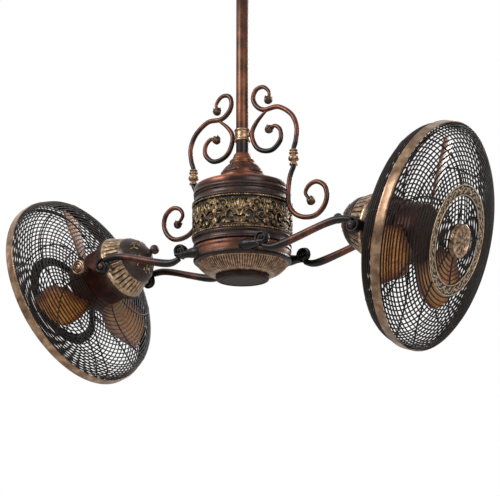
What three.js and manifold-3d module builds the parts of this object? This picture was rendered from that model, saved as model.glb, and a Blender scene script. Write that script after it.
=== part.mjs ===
// Ceiling fan with two caged heads on a turning ring, millimetres, +Z up.
// The origin is the middle of the mounting plate's top face, against the ceiling.
// Heights named below are measured from the running gap between the fixed housing and the ring.
import * as THREE from 'three';
import { mergeVertices } from 'three/addons/utils/BufferGeometryUtils.js';
import Module from 'manifold-3d';

const wasm = await Module();
wasm.setup();

// ---------------------------------------------------------------- driving dimensions
const SEAT = 0.3; // clearance between pieces that rest on each other
const RUN = 0.8; // running gap between turning and fixed pieces

const ROD_R = 13.35;
const ROD_WALL = 2.9;
const ROD_LENGTH = 457;
const ROD_BOTTOM = 160; // above the running gap
const ROD_HEADROOM = 23; // from the rod's top to the ceiling
const CEILING = ROD_BOTTOM + ROD_LENGTH + ROD_HEADROOM;

const HOUSING_R = 100;
const LOWER_H = 19; // lower moulding
const BAND_H = 69; // filigree band
const UPPER_H = 28; // upper moulding
const LID_RIM_H = 14;
const LID_RISE = 12;
const FILIGREE_T = 4.3;
const FILIGREE_BARS = 10;
const SHELL = 3;
const BELL_R = 53;
const BELL_H = 59;
const COUPLER_R = 18.5;

const RING_H = 31;
const RING_WALL = 11;
const DISH_H = 25;
const DISH_FLUTES = 14;
const CAP_R = 54.7;
const CAP_H = 11;
const MOTOR_R = 80;
const SHAFT_R = 8;

const BODY_R = 61.5; // motor body
const CUP_R = BODY_R + 5.5;
const COLLAR_R = BODY_R + 8.5;

const ARM_HALF = 9; // half width of the volutes
const ARM_GAP = 4.5; // between a head's cup and its arms
const ARM_Y = CUP_R + ARM_GAP + ARM_HALF; // arms lie in two planes beside the axis
const ARM_R = 8.4;
const FOOT_R = 13; // thick end of an arm's tongue in the ring
const FOOT_NECK_R = 8;
const FOOT_REACH = 57; // from the inner volute back into the ring
const INNER_VOLUTE_X = HOUSING_R - 1;
const INNER_VOLUTE_Z = -9;
const INNER_VOLUTE_R = 17;
const OUTER_VOLUTE_R = 18.5;
const PIVOT_X = HOUSING_R + 199.4;
const PIVOT_Z = -14.8;
const PIVOT_R = 5;

const TILT = 18; // degrees that each head faces downwards
const AXIS_UP = 19.5; // head axis above the pivot
const CUP_SMALL_R = 52;
const CUP_FRONT = 9;
const CUP_H = 39;
const CUP_RIBS = 12;
const COLLAR_H = 11;
const COLLAR_SLOTS = 6;
const BODY_FRONT = 66;
const FINIAL_BALL_R = 9.5;

const BAND_R = 217.6;
const BAND_W = 19;
const BAND_FRONT = 141.25;
const BAND_T = 2.2;
const BAND_SIDES = 32;
const FRONT_RISE = 35; // from the band to the medallion's seat
const REAR_DEPTH = 53; // from the band back to the flat of the rear grille
const WIRE = 3;
const RING_W = 5; // width of a grille ring
const SPOKE_W = 3.4;
const SPOKES = 6;
const BAY_SIDES = 2; // straight sides of a ring between two spokes
const REAR_RINGS = 4;
const FRONT_RINGS = 4;
const SPOKE_TWIST = 24; // degrees that a spoke runs round between hub and edge
const MEDAL_R = 105;
const MEDAL_W = 21;
const MEDAL_T = 2.4;
const BADGE_R = 32;
const BADGE_H = 12;

const HUB_R = 58;
const HUB_H = 43;
const ROTOR_SHAFT_R = 5;
const BLADES = 3;
const HUB_SIDES = 8 * BLADES; // so that the hub meets every blade alike
const BLADE_TIP_R = 188;
const BLADE_HALF = 54;
const BLADE_T = 3.2;
const BLADE_PITCH = 30;
const BLADE_TWIST = 12; // less pitch at the tip
const BLADE_AT = 103; // along the head axis from the pivot
const ROTOR_REST = -6; // degrees of the first blade from upright

const KNOB_AT = 50; // along the head axis from the pivot
const KNOB_R = 16;
const KNOB_FACE_H = 8;
const KNOB_REACH = BODY_R + 38.5; // knob face from the head axis
const KNOB_SHANK_R = 7;

const BAR_R = 5.25; // scroll bars
const BAR_NEAR = 0.86 * BAR_R; // from a bar's middle to its nearest facet
const SCROLL_X = 124;
const FINIAL_H = 34;
const FINIAL_MID = 174;
const COLLAR_MID = 244;
const SCROLL_COLLAR_R = 17;
const SCROLL_COLLAR_H = 26;
const LUG = 2.2;

const PLATE_T = 3.5;
const PLATE_R = 48;
const PLATE_L = 122;
const PLATE_W = 38;
const BALL_R = 30;
const BALL_DROP = 36;
const CANOPY_H = 74;
const CANOPY_WALL = 2;
const CANOPY_R = PLATE_L / 2 + CANOPY_WALL + 6; // clear of the bracket's tabs
const CANOPY_STEP = 13.1; // the skirt stands out this far from the shoulder
const SCREW_DROP = 13;

// Facets round each size of revolved piece.
const WIDE = 20;
const ROUND = 16;
const SLIM = 12;
const SMALL = 10;
const TINY = 8;

// ---------------------------------------------------------------- materials
const DARK = { color: 0x2a201c, roughness: 0.45, metalness: 0.6 };
const COPPER = { color: 0x6b3420, roughness: 0.38, metalness: 0.75 };
const BRONZE = { color: 0xa98a63, roughness: 0.42, metalness: 0.8 };
const WOOD = { color: 0x9a5a24, roughness: 0.4, metalness: 0.0 };
const STEEL = { color: 0x8d8f92, roughness: 0.4, metalness: 0.9 };

// ---------------------------------------------------------------- helpers
const rad = THREE.MathUtils.degToRad;

// A closed solid from any geometry: only positions, shared corners merged.
function solid(geometry) {
  const g = (geometry.index ? geometry.toNonIndexed() : geometry).clone();
  for (const name of Object.keys(g.attributes)) {
    if (name !== 'position') g.deleteAttribute(name);
  }
  const m = mergeVertices(g, 1e-4);
  const corners = m.index.array;
  const kept = [];
  for (let i = 0; i < corners.length; i += 3) {
    const [a, b, c] = corners.slice(i, i + 3);
    if (a !== b && b !== c && c !== a) kept.push(a, b, c);
  }
  return new wasm.Manifold(new wasm.Mesh({
    numProp: 3,
    vertProperties: new Float32Array(m.attributes.position.array),
    triVerts: new Uint32Array(kept),
  }));
}

function geometryOf(body) {
  const m = body.getMesh();
  const g = new THREE.BufferGeometry();
  g.setAttribute('position', new THREE.BufferAttribute(new Float32Array(m.vertProperties), 3));
  g.setIndex(new THREE.BufferAttribute(new Uint32Array(m.triVerts), 1));
  return g;
}

// Revolve [radius, height] points about Z. The profile runs up the outside and
// starts and ends on the axis, or closes on itself.
function lathe(points, segments) {
  const first = points[0];
  const last = points[points.length - 1];
  const closed = first[0] === 0 && last[0] === 0;
  const outline = (closed ? points : [...points, first]).map(([r, z]) => new THREE.Vector2(r, z));
  return new THREE.LatheGeometry(outline, segments).rotateX(Math.PI / 2);
}

// A revolved profile whose radius swells on every other segment, as ribs do.
function ribbed(points, ribs, depth, isRibbed) {
  const g = lathe(points, ribs * 2);
  const p = g.attributes.position;
  for (let i = 0; i < p.count; i += 1) {
    const r = Math.hypot(p.getX(i), p.getY(i));
    if (!isRibbed(r, p.getZ(i))) continue;
    const turn = Math.atan2(p.getY(i), p.getX(i)) / (Math.PI / ribs);
    const inset = Math.abs(Math.round(turn)) % 2 === 0 ? 1 : (r - depth) / r;
    p.setXY(i, p.getX(i) * inset, p.getY(i) * inset);
  }
  return g;
}

function disc(radius, z0, z1, segments) {
  return lathe([[0, z0], [radius, z0], [radius, z1], [0, z1]], segments);
}

function box(x0, x1, y0, y1, z0, z1) {
  const g = new THREE.BoxGeometry(x1 - x0, y1 - y0, z1 - z0);
  return g.translate((x0 + x1) / 2, (y0 + y1) / 2, (z0 + z1) / 2);
}

// A round bar through [x, z] points of the plane y = 0.
function bar(points, radius, steps, sides) {
  const path = new THREE.CatmullRomCurve3(points.map(([x, z]) => new THREE.Vector3(x, 0, z)));
  const section = new THREE.Shape();
  for (let i = 0; i < sides; i += 1) {
    const a = (2 * Math.PI * (i + 0.5)) / sides;
    if (i === 0) section.moveTo(radius * Math.cos(a), radius * Math.sin(a));
    else section.lineTo(radius * Math.cos(a), radius * Math.sin(a));
  }
  section.closePath();
  return new THREE.ExtrudeGeometry(section, { steps, bevelEnabled: false, extrudePath: path });
}

// A round boss along Y, centred on [x, z].
function bossY(x, z, radius, y0, y1, segments) {
  return disc(radius, y0, y1, segments).rotateX(-Math.PI / 2).translate(x, 0, z);
}

// A lattice of rings and slanted spokes on a revolved sheet. Each station is an edge
// [radius, height]; rings fill from an even station to the next, spokes bridge the rest.
function lattice(stations, thickness, spokes, spokeWidth, twist, perBay) {
  const count = stations.length;
  const centre = stations.map(([r, z]) => new THREE.Vector2(r, z));
  const length = centre.map((p, i) => (i === 0 ? 0 : p.distanceTo(centre[i - 1])));
  const total = length.reduce((sum, d) => sum + d, 0);
  let along = 0;
  const rows = centre.map((p, i) => {
    along += length[i];
    const before = centre[Math.max(i - 1, 0)];
    const after = centre[Math.min(i + 1, count - 1)];
    const t = after.clone().sub(before).normalize();
    const n = new THREE.Vector2(-t.y, t.x).multiplyScalar(thickness / 2);
    return { inner: p.clone().sub(n), outer: p.clone().add(n), shear: twist * (along / total), r: p.x };
  });
  const columns = spokes * (perBay + 1);
  const angle = (row, k) => {
    const spoke = Math.floor(k / (perBay + 1));
    const j = k % (perBay + 1);
    const half = spokeWidth / 2 / row.r;
    const bay = (2 * Math.PI) / spokes;
    const local = j === 0 ? -half : half + ((j - 1) * (bay - 2 * half)) / perBay;
    return spoke * bay + local + row.shear;
  };
  const filled = (i, k) => i % 2 === 0 || k % (perBay + 1) === 0;
  const corner = (i, k, side) => {
    const row = rows[i];
    const a = angle(row, ((k % columns) + columns) % columns);
    const p = row[side];
    return [p.x * Math.cos(a), p.x * Math.sin(a), p.y];
  };
  const out = [];
  const quad = (a, b, c, d) => out.push(...a, ...b, ...c, ...a, ...c, ...d);
  for (let i = 0; i < count - 1; i += 1) {
    for (let k = 0; k < columns; k += 1) {
      if (!filled(i, k)) continue;
      const next = k + 1;
      quad(corner(i, k, 'outer'), corner(i + 1, k, 'outer'),
        corner(i + 1, next, 'outer'), corner(i, next, 'outer'));
      quad(corner(i, k, 'inner'), corner(i, next, 'inner'),
        corner(i + 1, next, 'inner'), corner(i + 1, k, 'inner'));
      if (i === 0 || !filled(i - 1, k)) {
        quad(corner(i, k, 'inner'), corner(i, k, 'outer'),
          corner(i, next, 'outer'), corner(i, next, 'inner'));
      }
      if (i === count - 2 || !filled(i + 1, k)) {
        quad(corner(i + 1, k, 'inner'), corner(i + 1, next, 'inner'),
          corner(i + 1, next, 'outer'), corner(i + 1, k, 'outer'));
      }
      if (!filled(i, (k - 1 + columns) % columns)) {
        quad(corner(i, k, 'inner'), corner(i + 1, k, 'inner'),
          corner(i + 1, k, 'outer'), corner(i, k, 'outer'));
      }
      if (!filled(i, next % columns)) {
        quad(corner(i, next, 'inner'), corner(i, next, 'outer'),
          corner(i + 1, next, 'outer'), corner(i + 1, next, 'inner'));
      }
    }
  }
  const g = new THREE.BufferGeometry();
  g.setAttribute('position', new THREE.BufferAttribute(new Float32Array(out), 3));
  return g;
}

const fan = new THREE.Group();

// Turn a geometry or a solid into a named mesh in a group; a boolean body is read back first.
function add(group, name, shape, finish) {
  const geometry = shape.getMesh ? geometryOf(shape) : geometryOf(solid(shape));
  geometry.computeVertexNormals();
  const mesh = new THREE.Mesh(geometry, new THREE.MeshStandardMaterial(finish));
  mesh.name = name;
  group.add(mesh);
  return mesh;
}

// ---------------------------------------------------------------- heights of the stack
const LOWER_TOP = RUN + LOWER_H;
const BAND_BASE = LOWER_TOP + SEAT;
const BAND_TOP = BAND_BASE + BAND_H;
const UPPER_BASE = BAND_TOP + SEAT;
const UPPER_TOP = UPPER_BASE + UPPER_H;
const LID_BASE = UPPER_TOP + SEAT;
const LID_EDGE = LID_BASE + LID_RIM_H;
const LID_TOP = LID_EDGE + LID_RISE;
const MOTOR_TOP = LID_BASE - 4;
const MOTOR_BASE = LOWER_TOP + 4;
const RING_BOTTOM = -RUN - RING_H;
const DISH_TOP = RING_BOTTOM - SEAT;
const DISH_BOTTOM = DISH_TOP - DISH_H;
const FOOT_Z = -RUN - RING_H / 2;
const CAP_TOP = DISH_BOTTOM - SEAT;
const CAP_BOTTOM = CAP_TOP - CAP_H;
const RING_R = HOUSING_R + 0.5;
const RING_INNER = HOUSING_R - RING_WALL;
const BAND_INNER = HOUSING_R + 0.7;
const DRUM_R = BAND_INNER * Math.cos(Math.PI / FILIGREE_BARS) - SEAT;
const BAND_OUTER = BAND_INNER + FILIGREE_T;

// ---------------------------------------------------------------- ceiling mount
function hangerBracket(group) {
  const ballZ = CEILING - BALL_DROP;
  const seatTop = ballZ - 7;
  const seatBottom = ballZ - 15;
  const ballAt = (z) => Math.sqrt(BALL_R ** 2 - (z - ballZ) ** 2);
  const seat = lathe([
    [ballAt(seatBottom) + SEAT * 2, seatBottom],
    [PLATE_R - 4, seatBottom],
    [PLATE_R - 4, seatTop],
    [ballAt(seatTop) + SEAT * 2, seatTop],
  ], SLIM);
  const half = PLATE_L / 2;
  let body = solid(box(-half, half, -PLATE_W / 2, PLATE_W / 2, CEILING - PLATE_T, CEILING));
  body = body.add(solid(box(-12, 12, -PLATE_R, PLATE_R, CEILING - PLATE_T, CEILING)));
  for (const side of [-1, 1]) {
    const leg = box(-12, 12, PLATE_R - 8, PLATE_R - 4.5, seatBottom, CEILING - 1);
    body = body.add(solid(side > 0 ? leg : leg.rotateZ(Math.PI)));
    const tab = box(half - PLATE_T, half, -9, 9, CEILING - 2 * SCREW_DROP, CEILING - 1);
    const hole = disc(2.6, 0, PLATE_L, TINY).rotateY(Math.PI / 2).translate(0, 0, CEILING - SCREW_DROP);
    body = body.add(solid(side > 0 ? tab : tab.rotateZ(Math.PI)));
    body = body.subtract(solid(side > 0 ? hole : hole.rotateZ(Math.PI)));
    const slot = disc(2.6, CEILING - 2 * PLATE_T, CEILING + 1, TINY).translate(side * (half - 16.5), 0, 0);
    body = body.subtract(solid(slot));
  }
  add(group, 'hanger_bracket', body.add(solid(seat)), STEEL);
}

function canopy(group) {
  const top = CEILING - 1;
  const bottom = CEILING - CANOPY_H;
  const neck = ROD_R + 1.5;
  const outer = [
    [neck, bottom], [neck + 8, bottom], [neck + 12, bottom + 6], [CANOPY_R - CANOPY_STEP, bottom + 22],
    [CANOPY_R - 3.5, bottom + 46], [CANOPY_R, bottom + 55], [CANOPY_R, top],
  ];
  const w = CANOPY_WALL;
  const inner = [
    [CANOPY_R - w, top], [CANOPY_R - w, bottom + 57], [CANOPY_R - CANOPY_STEP - w, bottom + 24],
    [neck, bottom + 4],
  ];
  let body = solid(lathe([...outer, ...inner], ROUND));
  for (const side of [0, Math.PI]) {
    const hole = disc(2.6, 0, 2 * CANOPY_R, TINY).rotateY(Math.PI / 2).translate(0, 0, CEILING - SCREW_DROP);
    body = body.subtract(solid(hole.rotateZ(side)));
  }
  add(group, 'canopy', body, COPPER);
  const names = ['canopy_screw_right', 'canopy_screw_left'];
  names.forEach((name, i) => {
    const head = CANOPY_R + SEAT;
    const screw = lathe([
      [0, PLATE_L / 2 - 8], [2.2, PLATE_L / 2 - 8], [2.2, head], [5.5, head], [4.5, head + 5],
      [0, head + 5],
    ], TINY).rotateY(Math.PI / 2);
    const mesh = add(group, name, screw, BRONZE);
    mesh.position.z = CEILING - SCREW_DROP;
    mesh.rotation.z = i * Math.PI;
  });
}

function downrod(group) {
  const bore = ROD_R - ROD_WALL;
  add(group, 'downrod', lathe([
    [bore, ROD_BOTTOM], [ROD_R, ROD_BOTTOM], [ROD_R, ROD_BOTTOM + ROD_LENGTH],
    [bore, ROD_BOTTOM + ROD_LENGTH],
  ], SLIM), COPPER);
  const ballZ = CEILING - BALL_DROP;
  const flat = 20;
  const profile = [];
  const steps = 4;
  for (let i = 0; i <= steps; i += 1) {
    const z = -flat + (2 * flat * i) / steps;
    profile.push([Math.sqrt(BALL_R ** 2 - z ** 2), ballZ + z]);
  }
  add(group, 'hanger_ball', lathe([
    [ROD_R + SEAT, ballZ - flat], ...profile, [ROD_R + SEAT, ballZ + flat],
  ], SLIM), DARK);
}

// ---------------------------------------------------------------- coupler and bell cap
function bellCap(group) {
  const base = LID_TOP + SEAT;
  const top = base + BELL_H;
  const neck = ROD_R + 0.6;
  const outer = [
    [BELL_R - SHELL, base], [BELL_R, base], [BELL_R, base + 6], [BELL_R - 9, base + 10],
    [BELL_R - 8, base + 16], [BELL_R - 17, base + 29], [BELL_R - 26, base + 38],
    [BELL_R - 26, base + 43], [neck + 7, base + 47.5], [neck + 2.5, top], [neck, top],
  ];
  const inner = [[neck, base + 50], [COUPLER_R + 3, base + 39], [BELL_R - 14, base + 10]];
  add(group, 'bell_cap', lathe([...outer, ...inner], ROUND), COPPER);
  const bottom = MOTOR_TOP + SEAT;
  const bore = ROD_R + SEAT;
  add(group, 'rod_coupler', lathe([
    [0, bottom], [COUPLER_R + 9, bottom], [COUPLER_R + 9, bottom + 5], [COUPLER_R, bottom + 7],
    [COUPLER_R, base + 38], [bore, base + 38], [bore, ROD_BOTTOM - SEAT], [0, ROD_BOTTOM - SEAT],
  ], SLIM), STEEL);
}

// ---------------------------------------------------------------- housing
function housing(group) {
  const hole = COUPLER_R + 0.6;
  add(group, 'housing_lid', lathe([
    [HOUSING_R - SHELL, LID_BASE], [HOUSING_R, LID_BASE], [HOUSING_R - 1, LID_EDGE - 3],
    [HOUSING_R - 5, LID_EDGE], [BELL_R + 2, LID_TOP], [hole, LID_TOP], [hole, LID_TOP - SHELL],
    [BELL_R + 2, LID_TOP - SHELL], [HOUSING_R - SHELL - 4, LID_EDGE - SHELL - 1],
  ], WIDE), COPPER);
  const inner = HOUSING_R - 7;
  add(group, 'upper_moulding', lathe([
    [inner, UPPER_BASE], [HOUSING_R + 4, UPPER_BASE], [HOUSING_R + 3, UPPER_BASE + 4],
    [HOUSING_R - 2, UPPER_BASE + 10], [HOUSING_R - 2, UPPER_TOP - 9], [HOUSING_R + 1, UPPER_TOP - 4],
    [HOUSING_R, UPPER_TOP], [inner, UPPER_TOP],
  ], WIDE), DARK);
  add(group, 'housing_drum', lathe([
    [DRUM_R - SHELL, BAND_BASE], [DRUM_R, BAND_BASE], [DRUM_R, BAND_TOP], [DRUM_R - SHELL, BAND_TOP],
  ], WIDE), DARK);
  const mid = BAND_INNER + FILIGREE_T / 2;
  const heights = [0, 7, 31, 36.5, BAND_H - 7, BAND_H].map((h) => [mid, BAND_BASE + h]);
  add(group, 'filigree_band', lattice(heights, FILIGREE_T, FILIGREE_BARS, 8, rad(18), 1), BRONZE);
  const shaftHole = SHAFT_R + RUN;
  add(group, 'lower_moulding', lathe([
    [shaftHole, RUN], [HOUSING_R + 1, RUN], [HOUSING_R - 1, RUN + 7],
    [HOUSING_R - 1, LOWER_TOP - 7], [HOUSING_R + 3, LOWER_TOP - 3], [HOUSING_R + 3, LOWER_TOP],
    [HOUSING_R - 4, LOWER_TOP], [HOUSING_R - 6, RUN + 4], [shaftHole, RUN + 4],
  ], WIDE), DARK);
  const flange = RING_BOTTOM + 4;
  add(group, 'drive_motor', lathe([
    [0, flange - 5], [SHAFT_R * 1.9, flange - 5], [SHAFT_R * 1.9, flange], [SHAFT_R, flange],
    [SHAFT_R, MOTOR_BASE], [MOTOR_R, MOTOR_BASE], [MOTOR_R, MOTOR_TOP - 8],
    [MOTOR_R - 12, MOTOR_TOP], [0, MOTOR_TOP],
  ], SLIM), STEEL);
}

// ---------------------------------------------------------------- wrought scrolls
// Points are [distance from the rod's axis, height above the running gap].
const CURL_BUD = [64, 312];
const SPIRAL_BUD = [66, 247];
const LOWER_BUD = [163, 77];
const TOP_CURL = [CURL_BUD, [66, 328], [52, 342], [34, 339], [27, 321], [35, 303], [54, 291],
  [88, 291], [119, 269], [132, 240], [130, 212]];
const SPIRAL = [[62, 290.5], [36, 268], [SCROLL_COLLAR_R + LUG + BAR_NEAR + SEAT, COLLAR_MID], [33, 215],
  [52, 201.5], [75, 201], [93, 218], [93, 239], [80, 251], SPIRAL_BUD];
const LOWER_CURL = [[116, 138], [BAND_OUTER + SEAT + BAR_R + 1.4, 118], [BAND_OUTER + SEAT + BAR_R, 97],
  [BAND_OUTER + SEAT + BAR_R + 2, 76], [125, 56], [146, 45], [172, 44.5], [191, 58], [200, 80],
  [195, 102], [177, 114], [159, 109], [151, 94], LOWER_BUD];

function bud(at, size) {
  const g = new THREE.SphereGeometry(size, 6, 3);
  return g.scale(1, 0.85, 1).translate(at[0], 0, at[1]);
}

function scrolls(group) {
  const top = FINIAL_MID + FINIAL_H / 2;
  const bottom = FINIAL_MID - FINIAL_H / 2;
  const upperPath = [...TOP_CURL, [SCROLL_X + 1.5, top + SEAT + 6], [SCROLL_X, top + SEAT]];
  const lowerPath = [[SCROLL_X, bottom - SEAT], [SCROLL_X - 1.5, bottom - SEAT - 4], ...LOWER_CURL];
  for (const side of ['right', 'left']) {
    const turn = new THREE.Group();
    turn.rotation.z = side === 'right' ? 0 : Math.PI;
    let upper = solid(bar(upperPath, BAR_R, 21, 5)).add(solid(bar(SPIRAL, BAR_R, 15, 5)));
    upper = upper.add(solid(bud(CURL_BUD, 9))).add(solid(bud(SPIRAL_BUD, 9)));
    const above = box(0, 2 * SCROLL_X, -40, 40, top + SEAT, CEILING);
    add(turn, 'scroll_upper_' + side, upper.intersect(solid(above)), COPPER);
    const finial = lathe([
      [0, bottom], [7, bottom], [8, bottom + 5], [5.5, bottom + 9], [10.5, FINIAL_MID],
      [5.5, top - 9], [8, top - 5], [7, top], [0, top],
    ], TINY).translate(SCROLL_X, 0, 0);
    add(turn, 'scroll_finial_' + side, finial, BRONZE);
    const lower = solid(bar(lowerPath, BAR_R, 22, 5)).add(solid(bud(LOWER_BUD, 9.5)));
    const below = box(0, 2 * SCROLL_X, -40, 40, 0, bottom - SEAT);
    add(turn, 'scroll_lower_' + side, lower.intersect(solid(below)), COPPER);
    group.add(turn);
  }
  let collar = solid(lathe([
    [ROD_R + SEAT, COLLAR_MID - SCROLL_COLLAR_H / 2],
    [SCROLL_COLLAR_R, COLLAR_MID - SCROLL_COLLAR_H / 2],
    [SCROLL_COLLAR_R, COLLAR_MID + SCROLL_COLLAR_H / 2],
    [ROD_R + SEAT, COLLAR_MID + SCROLL_COLLAR_H / 2],
  ], SLIM));
  for (const side of [0, Math.PI]) {
    const lug = box(SCROLL_COLLAR_R - LUG, SCROLL_COLLAR_R + LUG, -4, 4, COLLAR_MID - 6, COLLAR_MID + 6);
    collar = collar.add(solid(lug.rotateZ(side)));
  }
  const tapped = disc(2.5, 0, 2 * SCROLL_COLLAR_R, TINY).rotateX(Math.PI / 2).rotateZ(rad(-16));
  add(group, 'scroll_collar', collar.subtract(solid(tapped.translate(0, 0, COLLAR_MID))), BRONZE);
}

// ---------------------------------------------------------------- carousel
function carousel(group) {
  const edge = RING_R - 6;
  add(group, 'arm_ring', lathe([
    [RING_INNER, RING_BOTTOM], [edge, RING_BOTTOM], [RING_R, RING_BOTTOM + 6],
    [RING_R - 1, RING_BOTTOM + 10], [RING_R - 1, -RUN - 9], [RING_R, -RUN - 6],
    [RING_R - 1, -RUN], [RING_INNER, -RUN],
  ], WIDE), COPPER);
  const dish = [
    [CAP_R - 8, DISH_BOTTOM], [CAP_R + 4, DISH_BOTTOM], [CAP_R + 20, DISH_BOTTOM + 6],
    [edge - 5, DISH_TOP - 6], [edge - 1, DISH_TOP], [RING_INNER, DISH_TOP],
    [CAP_R + 17, DISH_BOTTOM + 9.5], [CAP_R - 8, DISH_BOTTOM + 3.5],
  ];
  const onFlutes = (r, z) => r > CAP_R + 2 && r < edge - 3 && z < DISH_TOP - 1 && isOuterDish(r, z);
  add(group, 'ribbed_dish', ribbed(dish, DISH_FLUTES, 1.2, onFlutes), BRONZE);
  add(group, 'bottom_cap', lathe([
    [0, CAP_BOTTOM + 1], [CAP_R - 14, CAP_BOTTOM + 1], [CAP_R - 5, CAP_BOTTOM], [CAP_R, CAP_BOTTOM + 4],
    [CAP_R, CAP_TOP], [CAP_R - 8, CAP_TOP], [CAP_R - 10, CAP_BOTTOM + 4], [0, CAP_BOTTOM + 4],
  ], ROUND), DARK);
  const hubR = RING_INNER - SEAT;
  const shaftHole = SHAFT_R + SEAT;
  const hubBottom = RING_BOTTOM + 4 + SEAT;
  add(group, 'carousel_hub', lathe([
    [shaftHole, hubBottom], [hubR, hubBottom], [hubR, hubBottom + 8],
    [SHAFT_R + 16, hubBottom + 8], [SHAFT_R + 12, -RUN - 3], [shaftHole, -RUN - 3],
  ], WIDE), STEEL);
}

function isOuterDish(r, z) {
  const t = (z - DISH_BOTTOM) / DISH_H;
  const inner = CAP_R + 17 + (RING_INNER - CAP_R - 17) * t;
  return r > inner - 2 || z < DISH_BOTTOM + 6;
}

// The rolled end of an arm: a thick round eye with softened edges, its axis along Y.
function volute(radius, sides) {
  return lathe([
    [0, -ARM_HALF], [radius - 4, -ARM_HALF], [radius, -ARM_HALF + 5],
    [radius, ARM_HALF - 5], [radius - 4, ARM_HALF], [0, ARM_HALF],
  ], sides).rotateX(Math.PI / 2);
}

// One arm in the plane y = 0, from the ring to the pivot.
function armBody() {
  const lift = PIVOT_Z + OUTER_VOLUTE_R;
  const path = [
    [INNER_VOLUTE_X + 2, INNER_VOLUTE_Z - INNER_VOLUTE_R + 3], [INNER_VOLUTE_X + 20, -30],
    [INNER_VOLUTE_X + 42, -28], [PIVOT_X - 117.4, -17.5], [PIVOT_X - 71.4, -4.5],
    [PIVOT_X - 37.4, lift - 1], [PIVOT_X - 6, lift - 3], [PIVOT_X + 8, lift - 9],
  ];
  let body = solid(bar(path, ARM_R, 8, 6));
  const inner = volute(INNER_VOLUTE_R, TINY).translate(INNER_VOLUTE_X, 0, INNER_VOLUTE_Z);
  const outer = volute(OUTER_VOLUTE_R, SMALL).translate(PIVOT_X, 0, PIVOT_Z);
  const footEnd = INNER_VOLUTE_X - FOOT_REACH;
  const foot = lathe([
    [0, footEnd], [FOOT_R, footEnd], [FOOT_R, INNER_VOLUTE_X - 33],
    [FOOT_NECK_R, INNER_VOLUTE_X - 21], [FOOT_NECK_R, INNER_VOLUTE_X], [0, INNER_VOLUTE_X],
  ], TINY).rotateY(Math.PI / 2).translate(0, 0, FOOT_Z);
  body = body.add(solid(inner)).add(solid(outer)).add(solid(foot));
  const bore = bossY(PIVOT_X, PIVOT_Z, PIVOT_R + SEAT, -2 * ARM_HALF, 2 * ARM_HALF, SMALL);
  return body.subtract(solid(bore));
}

function arms(group) {
  const clear = solid(disc(RING_R + SEAT, -2 * RING_H, RING_H, WIDE));
  for (const [name, turn, side] of [
    ['arm_right_near', 0, -1], ['arm_right_far', 0, 1], ['arm_left_near', Math.PI, 1],
    ['arm_left_far', Math.PI, -1],
  ]) {
    const placed = armBody().translate([0, side * ARM_Y, 0]).subtract(clear);
    const mesh = add(group, name, placed, COPPER);
    mesh.rotation.z = turn;
  }
}

// ---------------------------------------------------------------- head, about its own axis
// Local frame: Z is the head's axis with 0 at the pivot, X points up, Y across.
const COLLAR_FRONT = CUP_FRONT + SEAT + COLLAR_H;
const BAND_BACK = BAND_FRONT - BAND_W;
const RIM_R = (BAND_R - BAND_T) * Math.cos(Math.PI / BAND_SIDES) - SEAT;
const MEDAL_Z = BAND_FRONT + FRONT_RISE;
const BAY_FLAT = Math.cos(Math.PI / (SPOKES * BAY_SIDES)); // radius of a bay's flats to its corners

function pivotHousing(group, side) {
  const small = CUP_FRONT - CUP_H;
  const cup = ribbed([
    [CUP_SMALL_R - 5, small], [CUP_SMALL_R, small], [CUP_R, 0], [CUP_R + 2, CUP_FRONT],
    [BODY_R + SEAT, CUP_FRONT],
  ], CUP_RIBS, 1.6, (r, z) => z < 1 && r > CUP_SMALL_R - 1);
  const reach = ARM_Y - ARM_HALF - SEAT;
  const boss = bossY(0, 0, PIVOT_R + 3.5, CUP_R - 9, reach, SMALL);
  const cross = bossY(0, 0, PIVOT_R + SEAT, -2 * reach, 2 * reach, SMALL);
  let body = solid(cup);
  for (const end of [0, Math.PI]) {
    const placed = boss.clone().rotateZ(end).translate(-AXIS_UP, 0, 0);
    body = body.add(solid(placed));
  }
  body = body.subtract(solid(cross.translate(-AXIS_UP, 0, 0)));
  add(group, 'motor_cup_' + side, body, BRONZE);
  const cap = small - SEAT;
  const ball = cap - 55;
  add(group, 'rear_cap_' + side, lathe([
    [0, ball - FINIAL_BALL_R], [FINIAL_BALL_R * 0.75, ball - FINIAL_BALL_R * 0.7],
    [FINIAL_BALL_R, ball], [FINIAL_BALL_R * 0.75, ball + FINIAL_BALL_R * 0.7], [5, ball + 12],
    [15, cap - 38], [30, cap - 29], [CUP_SMALL_R - 8, cap - 15], [CUP_SMALL_R, cap],
    [CUP_SMALL_R - 4, cap], [28, cap - 24], [0, cap - 33],
  ], SLIM), DARK);
  const pin = ARM_Y + ARM_HALF + 1.5;
  const shaft = lathe([
    [0, -pin - 3], [PIVOT_R + 3, -pin - 3], [PIVOT_R + 5, -pin + 1], [PIVOT_R, -pin + 1],
    [PIVOT_R, pin - 1], [PIVOT_R + 5, pin - 1], [PIVOT_R + 3, pin + 3], [0, pin + 3],
  ], SMALL).rotateX(Math.PI / 2).translate(-AXIS_UP, 0, 0);
  add(group, 'pivot_shaft_' + side, shaft, DARK);
}

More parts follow.
